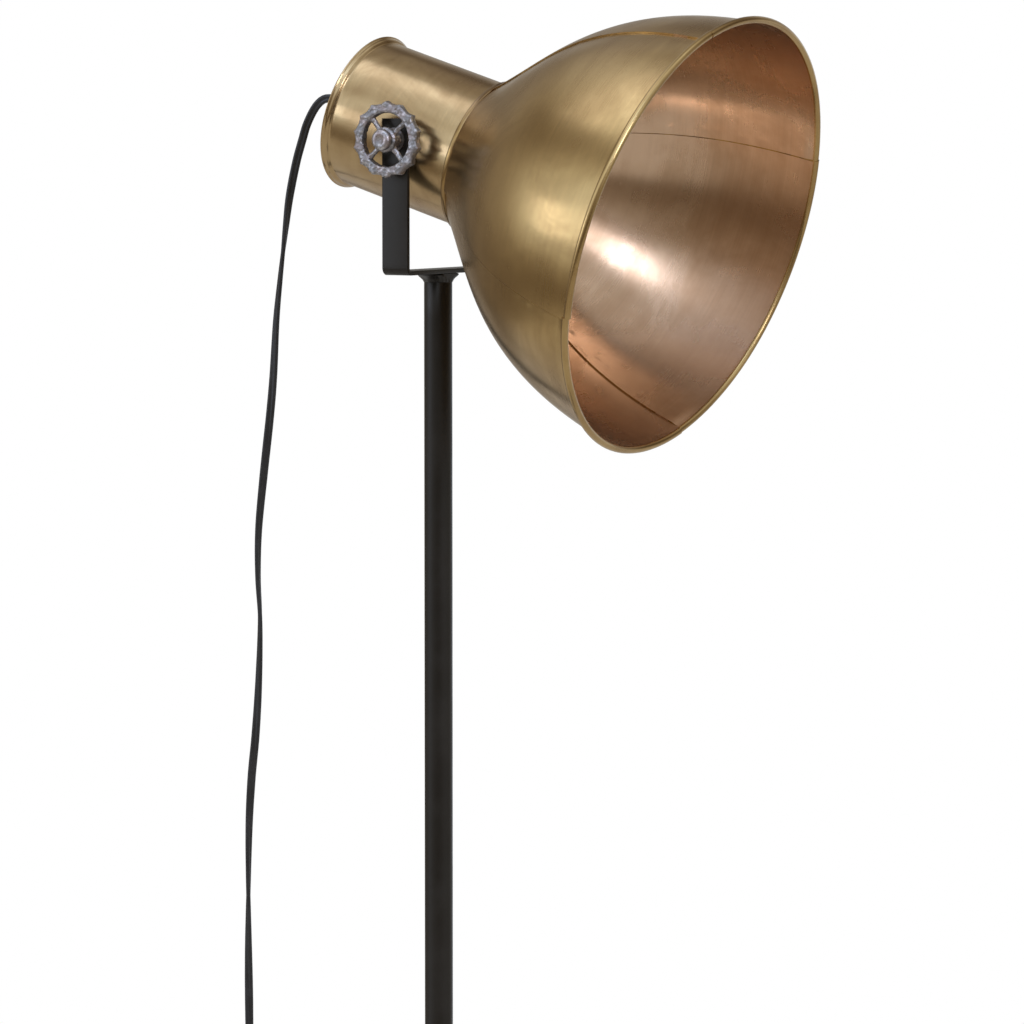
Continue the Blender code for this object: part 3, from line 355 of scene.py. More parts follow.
def cast(work, lumps):
    """Fuse overlapping shells to one rough-cast skin with lumps of a given height."""
    bmesh.ops.recalc_face_normals(work, faces=work.faces)
    work = modified(work, ("REMESH", {"mode": "VOXEL", "voxel_size": CAST_GRAIN}),
                    ("SMOOTH", {"factor": 0.5, "iterations": 6}))
    heights = [noise.fractal(vert.co * CAST_LUMPS, 0.6, 2.0, 3) for vert in work.verts]
    for vert, height in zip(work.verts, heights):
        vert.co += vert.normal * height * lumps
    return work


def smooth_step(value, low, high):
    """0 before low, 1 after high, eased between."""
    t = min(1.0, max(0.0, (value - low) / (high - low)))
    return t * t * (3 - 2 * t)


def bezier(a, b, c, d, count):
    """Points on a cubic curve."""
    found = []
    for i in range(count + 1):
        t = i / count
        found.append((1 - t) ** 3 * a + 3 * (1 - t) ** 2 * t * b
                     + 3 * (1 - t) * t * t * c + t ** 3 * d)
    return found


def smooth_route(points, step):
    """Points about a step apart on a Catmull-Rom curve through the given ones."""
    vectors = [Vector(p) for p in points]
    ends = [2 * vectors[0] - vectors[1]] + vectors + [2 * vectors[-1] - vectors[-2]]
    found = [vectors[0]]
    for a, b, c, d in zip(ends, ends[1:], ends[2:], ends[3:]):
        count = max(1, round((c - b).length / step))
        for i in range(1, count + 1):
            t = i / count
            found.append(0.5 * (2 * b + (c - a) * t + (2 * a - 5 * b + 4 * c - d) * t * t
                                + (3 * b - a - 3 * c + d) * t ** 3))
    return found


# ---- finishes

USUAL_RADIUS = 0.1


class Nodes:
    """The node tree of a material or world, with short calls to add and join nodes."""

    def __init__(self, owner):
        owner.use_nodes = True
        self.tree = owner.node_tree
        self.tree.nodes.clear()

    def add(self, kind, inputs=None, **values):
        """A node, its inputs by name or number and its settings."""
        node = self.tree.nodes.new(kind)
        for key, value in values.items():
            setattr(node, key, value)
        for key, value in (inputs or {}).items():
            self.feed(node.inputs[key], value)
        return node

    def feed(self, socket, value):
        """Link or set an input; three numbers make a colour."""
        if isinstance(value, bpy.types.NodeSocket):
            self.tree.links.new(value, socket)
        elif isinstance(value, (tuple, list)) and len(value) == 3 and socket.type == "RGBA":
            socket.default_value = (*value, 1.0)
        else:
            socket.default_value = value

    def math(self, operation, first, second=0.0, clamp=False):
        """A sum, product or other function of one or two values."""
        return self.add("ShaderNodeMath", {0: first, 1: second},
                        operation=operation, use_clamp=clamp).outputs[0]

    def spread(self, value, low, high, out_low=0.0, out_high=1.0, smooth=True):
        """The value's range from low to high drawn out to another, and held at its ends."""
        kind = "SMOOTHSTEP" if smooth else "LINEAR"
        return self.add("ShaderNodeMapRange", {
            "Value": value, "From Min": low, "From Max": high,
            "To Min": out_low, "To Max": out_high}, interpolation_type=kind,
            clamp=True).outputs["Result"]

    def blend(self, share, first, second):
        """Two shaders mixed."""
        return self.add("ShaderNodeMixShader", {0: share, 1: first.outputs[0],
                                                2: second.outputs[0]})

    def seen_directly(self, path):
        """1 for what the eye sees straight or through glass."""
        return self.math("MAXIMUM", path.outputs["Is Camera Ray"],
                         path.outputs["Is Transmission Ray"])


class Finish(Nodes):
    """A material's nodes, placed by the object's own coordinates."""

    def __init__(self, name):
        self.material = bpy.data.materials.new(name)
        super().__init__(self.material)
        self.end = self.add("ShaderNodeOutputMaterial")
        self.coords = self.add("ShaderNodeTexCoord")
        self.place = self.coords.outputs["Object"]

    def noise(self, scale, detail=4.0, rough=0.55, vector=None, distortion=0.0):
        """Fractal noise, its scale in waves to a metre."""
        return self.add("ShaderNodeTexNoise", {
            "Vector": vector or self.place, "Scale": scale, "Detail": detail,
            "Roughness": rough, "Distortion": distortion}).outputs["Fac"]

    def mix(self, share, first, second, blend="MIX"):
        """Two colours mixed."""
        node = self.add("ShaderNodeMix", data_type="RGBA", blend_type=blend)
        self.feed(node.inputs["Factor"], share)
        self.feed(node.inputs[6], first)
        self.feed(node.inputs[7], second)
        return node.outputs[2]

    def bump(self, height, distance, strength=1.0, normal=None):
        """A normal from a height, on top of another normal if there is one."""
        inputs = {"Height": height, "Distance": distance, "Strength": strength}
        if normal is not None:
            inputs["Normal"] = normal
        return self.add("ShaderNodeBump", inputs).outputs["Normal"]

    def turned_grain(self, along, across):
        """A vector round a turned piece, for streaks of given metres at the usual radius."""
        parts = self.add("ShaderNodeSeparateXYZ", {"Vector": self.coords.outputs["UV"]})
        turn = self.math("MULTIPLY", parts.outputs["X"], 2 * math.pi)
        reach = USUAL_RADIUS / along
        return self.add("ShaderNodeCombineXYZ", {
            "X": self.math("MULTIPLY", self.math("COSINE", turn), reach),
            "Y": self.math("MULTIPLY", self.math("SINE", turn), reach),
            "Z": self.math("MULTIPLY", parts.outputs["Y"], 1 / across),
        }).outputs[0]

    def shade(self, **inputs):
        """Close with one Principled shader."""
        names = {key.replace("_", " ").title().replace("Ior", "IOR"): value
                 for key, value in inputs.items()}
        shader = self.add("ShaderNodeBsdfPrincipled", names)
        self.feed(self.end.inputs["Surface"], shader.outputs[0])
        return self.material


def times(tint, factor, lift=0.0):
    """A colour made stronger or weaker, up to full."""
    return tuple(min(1.0, c * factor + lift) for c in tint)


def brass_finish(name, bright, aged, roughness=0.22, stretch=0.60):
    """Brushed brass with a brown patina under thin lacquer."""
    f = Finish(name)
    clouds = f.noise(12.0, 5.0, 0.6, distortion=0.8)
    mottle = f.noise(60.0, 4.0, 0.6)
    fine = f.noise(1.0, 3.0, 0.6, f.turned_grain(0.030, 0.00035))
    broad = f.noise(1.0, 2.0, 0.5, f.turned_grain(0.080, 0.0016))
    band = f.noise(1.0, 2.0, 0.5, f.turned_grain(0.110, 0.011))
    age = f.math("ADD", f.spread(clouds, 0.36, 0.66, -0.05, 0.75),
                 f.spread(mottle, 0.30, 0.75, -0.08, 0.16))
    age = f.math("ADD", age, f.spread(band, 0.30, 0.70, -0.08, 0.14), clamp=True)
    tone = f.mix(age, bright, aged)
    streak = f.spread(fine, 0.25, 0.75, 0.93, 1.05, smooth=False)
    streak = f.math("MULTIPLY", streak, f.spread(broad, 0.25, 0.75, 0.97, 1.03, smooth=False))
    tone = f.mix(1.0, tone, streak, "MULTIPLY")
    spots = f.spread(f.noise(170.0, 2.0, 0.5), 0.775, 0.83, 0.0, 0.35)
    tone = f.mix(spots, tone, times(aged, 0.35))
    rough = f.math("ADD", f.spread(fine, 0.2, 0.8, -0.02, 0.02, smooth=False), roughness)
    rough = f.math("ADD", rough, f.spread(age, 0.0, 1.0, -0.02, 0.06))
    normal = f.bump(f.noise(26.0, 2.0, 0.5), 0.00012, 0.4)
    normal = f.bump(fine, 0.000001, 0.4, normal)
    tangent = f.add("ShaderNodeTangent", direction_type="UV_MAP", uv_map="turned").outputs[0]
    return f.shade(base_color=tone, metallic=1.0, roughness=rough, normal=normal,
                   anisotropic=stretch, anisotropic_rotation=0.25, tangent=tangent,
                   coat_weight=0.35, coat_roughness=0.30)


def coat_finish(name, tint):
    """Satin black powder coat."""
    f = Finish(name)
    worn = f.spread(f.noise(26.0, 4.0, 0.6), 0.35, 0.75)
    tone = f.mix(worn, tint, times(tint, 1.45, 0.002))
    dust = f.spread(f.noise(1600.0, 2.0, 0.5), 0.66, 0.80, 0.0, 0.5)
    tone = f.mix(dust, tone, times(tint, 2.4))
    rough = f.math("ADD", f.spread(worn, 0, 1, -0.03, 0.05), 0.36)
    normal = f.bump(f.noise(900.0, 3.0, 0.55), 0.00005, 0.5)
    return f.shade(base_color=tone, roughness=rough, normal=normal, specular_ior_level=0.37,
                   specular_tint=(1.0, 0.91, 0.78))


def seam_finish(name, clean, dark_dirt_and_shade):
    """Brass along a lapped edge in uneven dark dashes: painted shade of the lap's step, with stain.
    """
    f = Finish(name)
    dark_dashes = f.spread(f.noise(95.0, 3.0, 0.6), 0.40, 0.62)
    rough = f.spread(dark_dashes, 0.0, 1.0, 0.30, 0.50)
    return f.shade(base_color=f.mix(dark_dashes, clean, dark_dirt_and_shade), metallic=1.0, roughness=rough,
                   normal=f.bump(f.noise(900.0, 3.0, 0.6), 0.00004, 0.6))


def casting_finish(name, tint):
    """Rough-cast grey metal, lighter towards the tops of its lumps: rubbed high spots with a
    painted glint.
    """
    f = Finish(name)
    lump = f.noise(320.0, 4.0, 0.6)
    # colour goes lighter up each lump: rubbed high spots, partly a painted glint
    tone = f.mix(f.spread(lump, 0.46, 0.72), times(tint, 0.62), times(tint, 1.45))
    warm = f.spread(f.noise(120.0, 3.0, 0.5), 0.40, 0.75, 0.0, 0.5)
    tone = f.mix(warm, tone, (tint[0] * 1.15, tint[1] * 0.90, tint[2] * 0.85))
    rough = f.spread(lump, 0.30, 0.70, 0.52, 0.32)
    normal = f.bump(lump, 0.00030, 0.7)
    normal = f.bump(f.noise(1500.0, 4.0, 0.65), 0.00008, 0.6, normal)
    return f.shade(base_color=tone, metallic=0.9, roughness=rough, normal=normal)


def plated_finish(name, tint, roughness=0.30):
    """Plated or bare small metal parts with fine turning marks and dull clouds."""
    f = Finish(name)
    clouds = f.spread(f.noise(160.0, 4.0, 0.6), 0.30, 0.75)
    tone = f.mix(clouds, tint, times(tint, 0.66))
    grain = f.noise(2600.0, 3.0, 0.6)
    rough = f.math("ADD", f.spread(grain, 0.3, 0.7, -0.05, 0.06), roughness)
    return f.shade(base_color=tone, metallic=1.0, roughness=rough,
                   normal=f.bump(grain, 0.00002, 0.6))


def moulded_finish(name, tint, roughness=0.42, grain_size=1300.0, height=0.00004, lift=1.7):
    """Moulded plastic, rubber or cord sheath with a fine skin."""
    f = Finish(name)
    grain = f.noise(grain_size, 3.0, 0.55)
    cloud = f.spread(f.noise(45.0, 4.0, 0.6), 0.35, 0.75)
    tone = f.mix(cloud, tint, times(tint, lift))
    rough = f.math("ADD", f.spread(cloud, 0, 1, -0.04, 0.06), roughness)
    return f.shade(base_color=tone, roughness=rough, normal=f.bump(grain, height, 0.6))


def porcelain_finish(name, tint):
    """Glazed ceramic with faint specks."""
    f = Finish(name)
    specks = f.spread(f.noise(700.0, 2.0, 0.5), 0.70, 0.80, 0.0, 0.35)
    cloud = f.spread(f.noise(40.0, 3.0, 0.5), 0.3, 0.7)
    tone = f.mix(cloud, tint, times(tint, 0.90))
    tone = f.mix(specks, tone, (0.45, 0.40, 0.33))
    return f.shade(base_color=tone, roughness=0.16, coat_weight=0.5, coat_roughness=0.08,
                   normal=f.bump(f.noise(160.0, 2.0, 0.5), 0.00006, 0.5))


def felt_finish(name, tint):
    """Pressed felt with loose fibres."""
    f = Finish(name)
    spun = f.add("ShaderNodeVectorMath", {0: f.place, 1: (1800.0, 700.0, 2400.0)},
                 operation="MULTIPLY").outputs[0]
    fibres = f.noise(1.0, 5.0, 0.7, spun)
    tone = f.mix(f.spread(fibres, 0.3, 0.7), tint, times(tint, 2.6))
    return f.shade(base_color=tone, roughness=0.95, sheen_weight=0.4,
                   normal=f.bump(fibres, 0.0002, 0.8))


# each finish's maker, its material's name, its colours, and what differs from the usual
RECIPES = {
    "brass": (brass_finish, "worn_brass", ["brass", "brass_aged"], {}),
    "inner_brass": (brass_finish, "inner_brass", ["inner", "inner_aged"],
                    {"roughness": 0.27, "stretch": 0.80}),
    "grime": (seam_finish, "seam_grime", ["brass_aged", "grime"], {}),
    # the neck ring is aged brass clouded with the seam lines' darker colour
    "neck_brass": (brass_finish, "neck_brass_skin", ["brass_aged", "grime"], {}),
    "cap_brass": (brass_finish, "cap_brass_skin", ["cap", "cap_aged"], {}),
    "coat": (coat_finish, "black_coat", ["black_coat"], {}),
    "casting": (casting_finish, "cast_metal", ["casting"], {}),
    "zinc": (plated_finish, "zinc_plating", ["zinc"], {}),
    "contact": (plated_finish, "contact_brass_skin", ["contact"], {"roughness": 0.24}),
    "nylon": (moulded_finish, "nylon_skin", ["nylon"], {"roughness": 0.48, "lift": 1.12}),
    "porcelain": (porcelain_finish, "porcelain_glaze", ["porcelain"], {}),
    "plastic": (moulded_finish, "switch_plastic", ["plastic"], {"roughness": 0.34}),
    "rubber": (moulded_finish, "boot_rubber", ["rubber"],
               {"roughness": 0.60, "grain_size": 900.0}),
    "cord": (moulded_finish, "cord_skin", ["cord"],
             {"roughness": 0.38, "grain_size": 700.0, "height": 0.00005}),
    "felt": (felt_finish, "base_felt_skin", ["felt"], {}),
}
FINISHES = {}


def finish(name):
    """One of the lamp's finishes, made the first time it is asked for."""
    if name not in FINISHES:
        maker, title, keys, changes = RECIPES[name]
        colours = bpy.context.scene.lamp_colours
        FINISHES[name] = maker(title, *[tuple(getattr(colours, key)) for key in keys], **changes)
    return FINISHES[name]


# ---- stage

HEAD_MIDDLE = Vector((0.0, -0.09, 1.38))
COOL = (0.88, 0.99, 1.34)
CAMERA_PLACE = (-3.07521, -1.90788, 1.45684)
CAMERA_DOWN = 4.5761
CAMERA_TURN = -58.969
# name, azimuth, elevation, distance, width, height, and the setting for its brightness
BOX_LIGHTS = [("side_box", -140.5, 7.5, 2.4, 0.38, 0.54, "key"),
              ("strip_box", -122, 8, 2.2, 0.30, 0.48, "strip"),
              ("front_box", -32, 17, 2.2, 0.46, 0.56, "front"),
              ("overhead", -149, 62, 2.0, 0.70, 1.15, "top")]
# brightness between the patches, and how far each reaches in degrees
DIMMEST, PATCH_RADIUS = 0.02, 30
# (elevation, first azimuth, levels round the ring) of the soft patches seen in reflections
MIRROR_RINGS = [
    (-26, -170, [0.16]),
    (-12, -180, [0.02, 0.06, 0.22, 0.08, 0.08, 0.09, 0.13, 0.20, 0.26, 0.26, 0.38, 0.40, 0.20,
                 0.12]),
    (12, -167, [0.28, 0.72, 0.52, 0.34, 0.14, 0.20, 0.45, 0.28, 0.02, 0.02, 0.30, 0.30, 0.02,
                0.13]),
    (36, -180, [0.05, 0.03, 0.25, 0.60, 0.95, 0.12, 0.36, 0.13, 0.08, 0.12, 0.02, 0.25]),
    (60, -160, [0.60, 0.39, 0.78, 0.54, 0.41, 0.03, 0.40]),
    (85, 0, [0.11]),
]
FLOOR_RINGS = (0.0, 0.4, 1.0, 1.8, 3.0)
FLOOR_HEIGHT = -0.0006


def direction(azimuth, elevation):
    """Unit vector; azimuth 0 is -Y and -90 is -X."""
    a, e = math.radians(azimuth), math.radians(elevation)
    return Vector((math.sin(a) * math.cos(e), -math.cos(a) * math.cos(e), math.sin(e)))


def make_camera(lights):
    """A camera at about the head's height, far off with a long lens."""
    camera = placed("camera", bpy.data.cameras.new("camera"))
    camera.location = CAMERA_PLACE
    camera.rotation_euler = (math.radians(90 - CAMERA_DOWN), 0, math.radians(CAMERA_TURN))
    camera.data.lens = lights.lens
    camera.data.sensor_width = 36.0
    camera.data.clip_end = 50.0
    bpy.context.scene.camera = camera


def box_light(name, azimuth, elevation, distance, wide, high, brightness):
    """An area light aimed at the head; brightness is what it looks like in a mirror."""
    lamp = bpy.data.lights.new(name, "AREA")
    lamp.shape = "RECTANGLE"
    lamp.size, lamp.size_y = wide, high
    lamp.energy = brightness * math.pi * wide * high
    lamp.color = COOL
    item = placed(name, lamp)
    away = direction(azimuth, elevation)
    item.location = HEAD_MIDDLE + away * distance
    item.rotation_euler = away.to_track_quat("Z", "Y").to_euler()


def make_world(lights):
    """A white room for the eye and dull surfaces, and soft patches for mirrors."""
    world = bpy.data.worlds.new("studio")
    bpy.context.scene.world = world
    f = Nodes(world)
    where = f.add("ShaderNodeTexCoord").outputs["Generated"]
    total = DIMMEST
    for elevation, first, levels in MIRROR_RINGS:
        for i, level in enumerate(levels):
            aim = direction(first + 360 * i / len(levels), elevation)
            near = f.add("ShaderNodeVectorMath", {0: where, 1: aim},
                         operation="DOT_PRODUCT").outputs["Value"]
            patch = f.spread(near, math.cos(math.radians(PATCH_RADIUS)), 1.0, 0.0, level)
            total = f.math("ADD", total, patch)
    # dim parts of the room are warm and bright ones cool
    tint = f.add("ShaderNodeCombineColor", {"Red": total})
    for channel, gain, power in (("Green", 1.12, 1.18), ("Blue", 1.32, 1.45)):
        f.feed(tint.inputs[channel], f.math("MULTIPLY", f.math("POWER", total, power), gain))
    path = f.add("ShaderNodeLightPath")
    white, mirror, room = [
        f.add("ShaderNodeBackground", {"Color": shade, "Strength": strength})
        for shade, strength in (((1, 1, 1, 1), 1.0), (tint.outputs[0], 1.0),
                                ((1, 1, 1, 1), lights.ambient))]
    around = f.blend(path.outputs["Is Glossy Ray"], room, mirror)
    last = f.blend(f.seen_directly(path), around, white)
    end = f.add("ShaderNodeOutputWorld")
    f.feed(end.inputs["Surface"], last.outputs[0])


def make_floor(lights):
    """A pale disc that fades to white towards its edge."""
    rings = [[polar(r, a, FLOOR_HEIGHT) for r in FLOOR_RINGS] for a in turns(96)]
    work = skin(rings, wrap=False, join=True)
    bmesh.ops.remove_doubles(work, verts=work.verts, dist=1e-7)
    floor = placed("floor", made("floor", work, recalc=False))
    f = Finish("pale_floor")
    parts = f.add("ShaderNodeSeparateXYZ", {"Vector": f.place})
    away = f.math("SQRT", f.math("ADD", f.math("POWER", parts.outputs["X"], 2.0),
                                 f.math("POWER", parts.outputs["Y"], 2.0)))
    path = f.add("ShaderNodeLightPath")
    tint = tuple(lights.floor)
    tone = f.mix(f.spread(f.noise(3.0), 0.3, 0.7), tint, times(tint, 0.985))
    # glossy rays see the floor a fifth darker: painted shade in its reflections on the metal
    tone = f.mix(f.math("MULTIPLY", path.outputs["Is Glossy Ray"], 0.20), tone,
                 (0.0, 0.0, 0.0))
    dull = f.add("ShaderNodeBsdfDiffuse", {"Color": tone, "Roughness": 0.6})
    white = f.add("ShaderNodeEmission", {"Color": (1.0, 1.0, 1.0), "Strength": 1.0})
    share = f.math("MULTIPLY", f.spread(away, 0.7, 2.6), f.seen_directly(path))
    f.feed(f.end.inputs["Surface"], f.blend(share, dull, white).outputs[0])
    floor.data.materials.append(f.material)


class LampOperator:
    """What every operator of this add-on shares."""

    bl_options = {"REGISTER", "UNDO"}

    def execute(self, context):
        self.make(context.scene.lamp_sizes)
        return {"FINISHED"}


class MakeStage(LampOperator, bpy.types.Operator):
    """Make the camera, lights, white room and pale floor"""

    bl_idname = "lamp.make_stage"
    bl_label = "Stage"

    def make(self, sizes):
        scene = bpy.context.scene
        scene.view_settings.view_transform = "Standard"
        lights = scene.lamp_lights
        make_camera(lights)
        make_world(lights)
        make_floor(lights)
        for name, *place, setting in BOX_LIGHTS:
            box_light(name, *place, getattr(lights, setting))


# ---- cords

def cord_outline(width, thickness, sides=12):
    """Section of a flat two-core cord, as (across, up) pairs: two rounds and a web."""
    radius = thickness / 2
    middle = width / 2 - radius
    web = radius * 0.62
    found = []
    for side in (1, -1):
        for i in range(sides + 1):
            a = math.radians(-118 + 236 * i / sides)
            across = side * (middle + radius * math.cos(a))
            found.append((across, side * radius * math.sin(a)))
        found.append((0.0, side * web))
    return found


def swept(points, wide, sizes):
    """A flat cord along points; wide gives the direction of its broad side at each."""
    outline = cord_outline(sizes.cord_width, sizes.cord_thickness)
    rings = []
    for i, point in enumerate(points):
        along = run_at(points, i).normalized()
        broad = (wide[i] - along * wide[i].dot(along)).normalized()
        up = along.cross(broad)
        rings.append([point + broad * x + up * y for x, y in outline])
    return skin(rings, caps=True)


def heading(angle):
    """A level unit vector at an angle from +X, in degrees."""
    return polar(1.0, math.radians(angle), 0.0)


def between(value, keys):
    """Linear steps through (place, value) pairs in falling order of place."""
    if value >= keys[0][0]:
        return keys[0][1]
    for (a, x), (b, y) in zip(keys, keys[1:]):
        if value >= b:
            return x + (y - x) * (a - value) / (a - b)
    return keys[-1][1]


# height, and turn of the cord's broad side in degrees
UPPER_TURNS = [(1.4443, -59), (1.394, -59), (1.342, 31), (1.215, 121), (1.094, 211),
               (0.990, 301), (0.897, 391), (0.7753, 540)]
DROP_TURNS = [(0.7067, 0), (0.62, 0), (0.12, 131), (0.08, 131)]
LANDING_TURN = 131


def coil_route():
    """Out and in on the floor, in and out above, and half a turn on top."""
    low, middle, high = COIL_LAYERS
    # turns done, radius, height
    keys = [(0.00, COIL_ENDS, low), (0.22, COIL_OUTER, low), (0.92, COIL_OUTER, low),
            (1.08, COIL_INNER, low), (1.90, COIL_INNER, low), (2.08, COIL_INNER, middle),
            (2.90, COIL_INNER, middle), (3.08, COIL_OUTER, middle),
            (3.88, COIL_OUTER, middle), (4.06, COIL_OUTER, high), (4.20, COIL_OUTER, high),
            (COIL_TURNS, COIL_ENDS, LEAVE_COIL)]
    found = []
    total = round(COIL_TURNS * 2 * math.pi * COIL_OUTER / COIL_STEP)
    for i in range(total + 1):
        turn = COIL_TURNS * i / total
        for (a, r0, z0), (b, r1, z1) in zip(keys, keys[1:]):
            if turn <= b:
                t = smooth_step(turn, a, b)
                break
        found.append(polar(r0 + (r1 - r0) * t, 2 * math.pi * turn, z0 + (z1 - z0) * t)
                     + Vector((*COIL_CENTRE, 0)))
    return found


class MakeCords(LampOperator, bpy.types.Operator):
    """Make the cord: head to switch, switch to floor, and the coil with its tail to the plug"""

    bl_idname = "lamp.make_cords"
    bl_label = "Cords"

    def make(self, sizes):
        points = smooth_route([(0, y, z) for y, z in UPPER_ROUTE], CORD_STEP)
        wide = [run_at(points, i).cross(heading(between(p.z, UPPER_TURNS) + 90))
                for i, p in enumerate(points)]
        upper = piece("cord_to_switch", swept(points, wide, sizes), "mast", "cord_sheath",
                      ["cord"], crease=60)
        upper.parent = None
        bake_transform(upper)
        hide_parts("cord_upper")

        points = smooth_route([(0, y, z) for y, z in DROP_ROUTE], 2 * CORD_STEP)
        wide = [heading(between(p.z, DROP_TURNS)) for p in points]
        drop = piece("cord_to_floor", swept(points, wide, sizes), "stand", "cord_sheath",
                     ["cord"], ["cord_drop"], crease=60)
        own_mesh(drop)

        points = (smooth_route(FLOOR_ROUTE, CORD_STEP) + coil_route()[1:]
                  + smooth_route(TAIL_ROUTE, CORD_STEP)[1:])
        wide = []
        for i in range(len(points)):
            along = run_at(points, i)
            flat = along.xy.length > 0.25 * along.length
            wide.append(Vector((-along.y, along.x, 0.0)).normalized() if flat
                        else heading(LANDING_TURN))
        rest = piece("cord_coil_and_tail", swept(points, wide, sizes), "stand", "cord_sheath",
                     ["cord"], ["cord_floor", "cord_coil", "cord_tail"], crease=60)


# ---- shade

SHADE_START = Vector((0.0533, 0.0440))
SHADE_END = Vector((0.1455, 0.2065))
NECK_SLOPE, NECK_PULL = math.radians(40.85), 0.0602
END_SLOPE, END_PULL = math.radians(7.6), 0.0936
# where each gore starts, in degrees from the far pivot towards the head's top
SEAMS = (20.1, 112.0, 200.0, 291.2, 380.1)
DOME_ROWS = 96
BEAD_ROWS = 16
# widths of the dark lines outside and inside a gore's edges, in degrees: painted shade of the lap's
# step, with stain
EDGE_SHADE_AND_DIRT, INSIDE_SHADE_AND_DIRT = 0.14, 0.28
# the lap narrows towards the neck inside this radius, and eases out over this length
LAP_FROM, LAP_EASE = 0.075, 0.0300
LAP_AIR = 0.00006
# how far each gore's edge stands back at the mouth, and the degrees over which that fades
BEAD_BACK, BACK_FADE = (0.0005, 0.0004, 0.0013, 0.0006), (3.0, 34.0)
# (share of the way along the seam, distance from the edge) of the pressed weld spots
SPOTS = [(0.30, 0.0068), (0.47, 0.0060), (0.60, 0.0064), (0.645, 0.0072), (0.74, 0.0058),
         (0.80, 0.0066), (0.905, 0.0060)]
SPOT_HEIGHT, SPOT_RADIUS = 0.00016, 0.0021
# soft waves of the worked sheet to a metre
WAVES = 17.0
BEAD_FORWARD = 0.0004


def slanted(slope, length):
    """A step of some length that leans out from the axis."""
    return length * Vector((math.sin(slope), math.cos(slope)))


def shade_line(bead_radius):
    """Middle line of the shade's sheet as (radius, height) vectors: the dome, then its bead."""
    dome = bezier(SHADE_START, SHADE_START + slanted(NECK_SLOPE, NECK_PULL),
                  SHADE_END - slanted(END_SLOPE, END_PULL), SHADE_END, DOME_ROWS)
    centre = (SHADE_END.x + bead_radius, SHADE_END.y + BEAD_FORWARD)
    return dome + [Vector(p) for p in arc(centre, bead_radius, 180, -60, BEAD_ROWS)][1:]


def gore_columns(end, lap_angle):
    """Angles across one gore from its seam, in degrees, finer near its two edges."""
    found = [0.0, 0.15, 0.32]
    for limit, step in ((lap_angle * 2 + 2.0, 0.4), (end - 7.5, 1.5), (end - 0.6, 0.5)):
        while found[-1] < limit:
            found.append(found[-1] + step)
    return ([a for a in found if a < end - 0.45] + [end - INSIDE_SHADE_AND_DIRT, end]
            + [end + lap_angle * k / 4 for k in range(1, 4)]
            + [end + lap_angle - EDGE_SHADE_AND_DIRT, end + lap_angle])


def gore_mesh(index, sizes):
    """One gore: sheet from seam to past the next seam, with its share of the rolled edge."""
    line = shade_line(sizes.bead)
    lengths = lengths_along(line)
    first, last = SEAMS[index], SEAMS[index + 1] - SEAMS[index]
    columns = gore_columns(last, math.degrees(sizes.lap / SHADE_END.x))
    grid = []
    for column in columns:
        row = []
        for j, point in enumerate(line):
            reach = point.x
            # the lap keeps its width in metres, so its angle grows towards the neck
            degrees = column
            if column > last:
                degrees = last + (column - last) * SHADE_END.x / max(reach, LAP_FROM)
            edge = math.radians(degrees) * reach
            lapped = sizes.lap * reach / max(reach, LAP_FROM)
            in_dome = 1 - smooth_step(j, DOME_ROWS - 2, DOME_ROWS)
            lift = (smooth_step(edge, lapped, lapped + LAP_EASE) - 1) * in_dome \
                * (sizes.sheet + LAP_AIR)
            a = math.radians(first + degrees)
            if j <= DOME_ROWS:
                lift += sizes.wobble * noise.noise(polar(reach, a, point.y) * WAVES) * in_dome
                for share, inset in SPOTS:
                    gap = Vector((lengths[j] - share * lengths[DOME_ROWS], edge - inset))
                    lift += SPOT_HEIGHT * math.exp(-(gap.length / SPOT_RADIUS) ** 2)
            moved = point + outward(run_at(line, j)) * lift
            settle = smooth_step(j, DOME_ROWS - 6, DOME_ROWS)
            moved.y -= BEAD_BACK[index] * settle * (1 - smooth_step(degrees, *BACK_FADE))
            row.append(polar(moved.x, a, moved.y))
        grid.append(row)
    work = bmesh.new()
    layer = work.loops.layers.uv.new("turned")
    verts = {}
    for i in range(len(columns) - 1):
        rows = len(line) - 1 if columns[i + 1] <= last else DOME_ROWS - 1
        for j in range(rows):
            corners = ((i, j), (i + 1, j), (i + 1, j + 1), (i, j + 1))
            for p, q in corners:
                if (p, q) not in verts:
                    verts[p, q] = work.verts.new(grid[p][q])
            face = work.faces.new([verts[corner] for corner in corners])
            for loop, (p, q) in zip(face.loops, corners):
                loop[layer].uv = ((first + columns[p]) / 360.0, lengths[q])
    return work


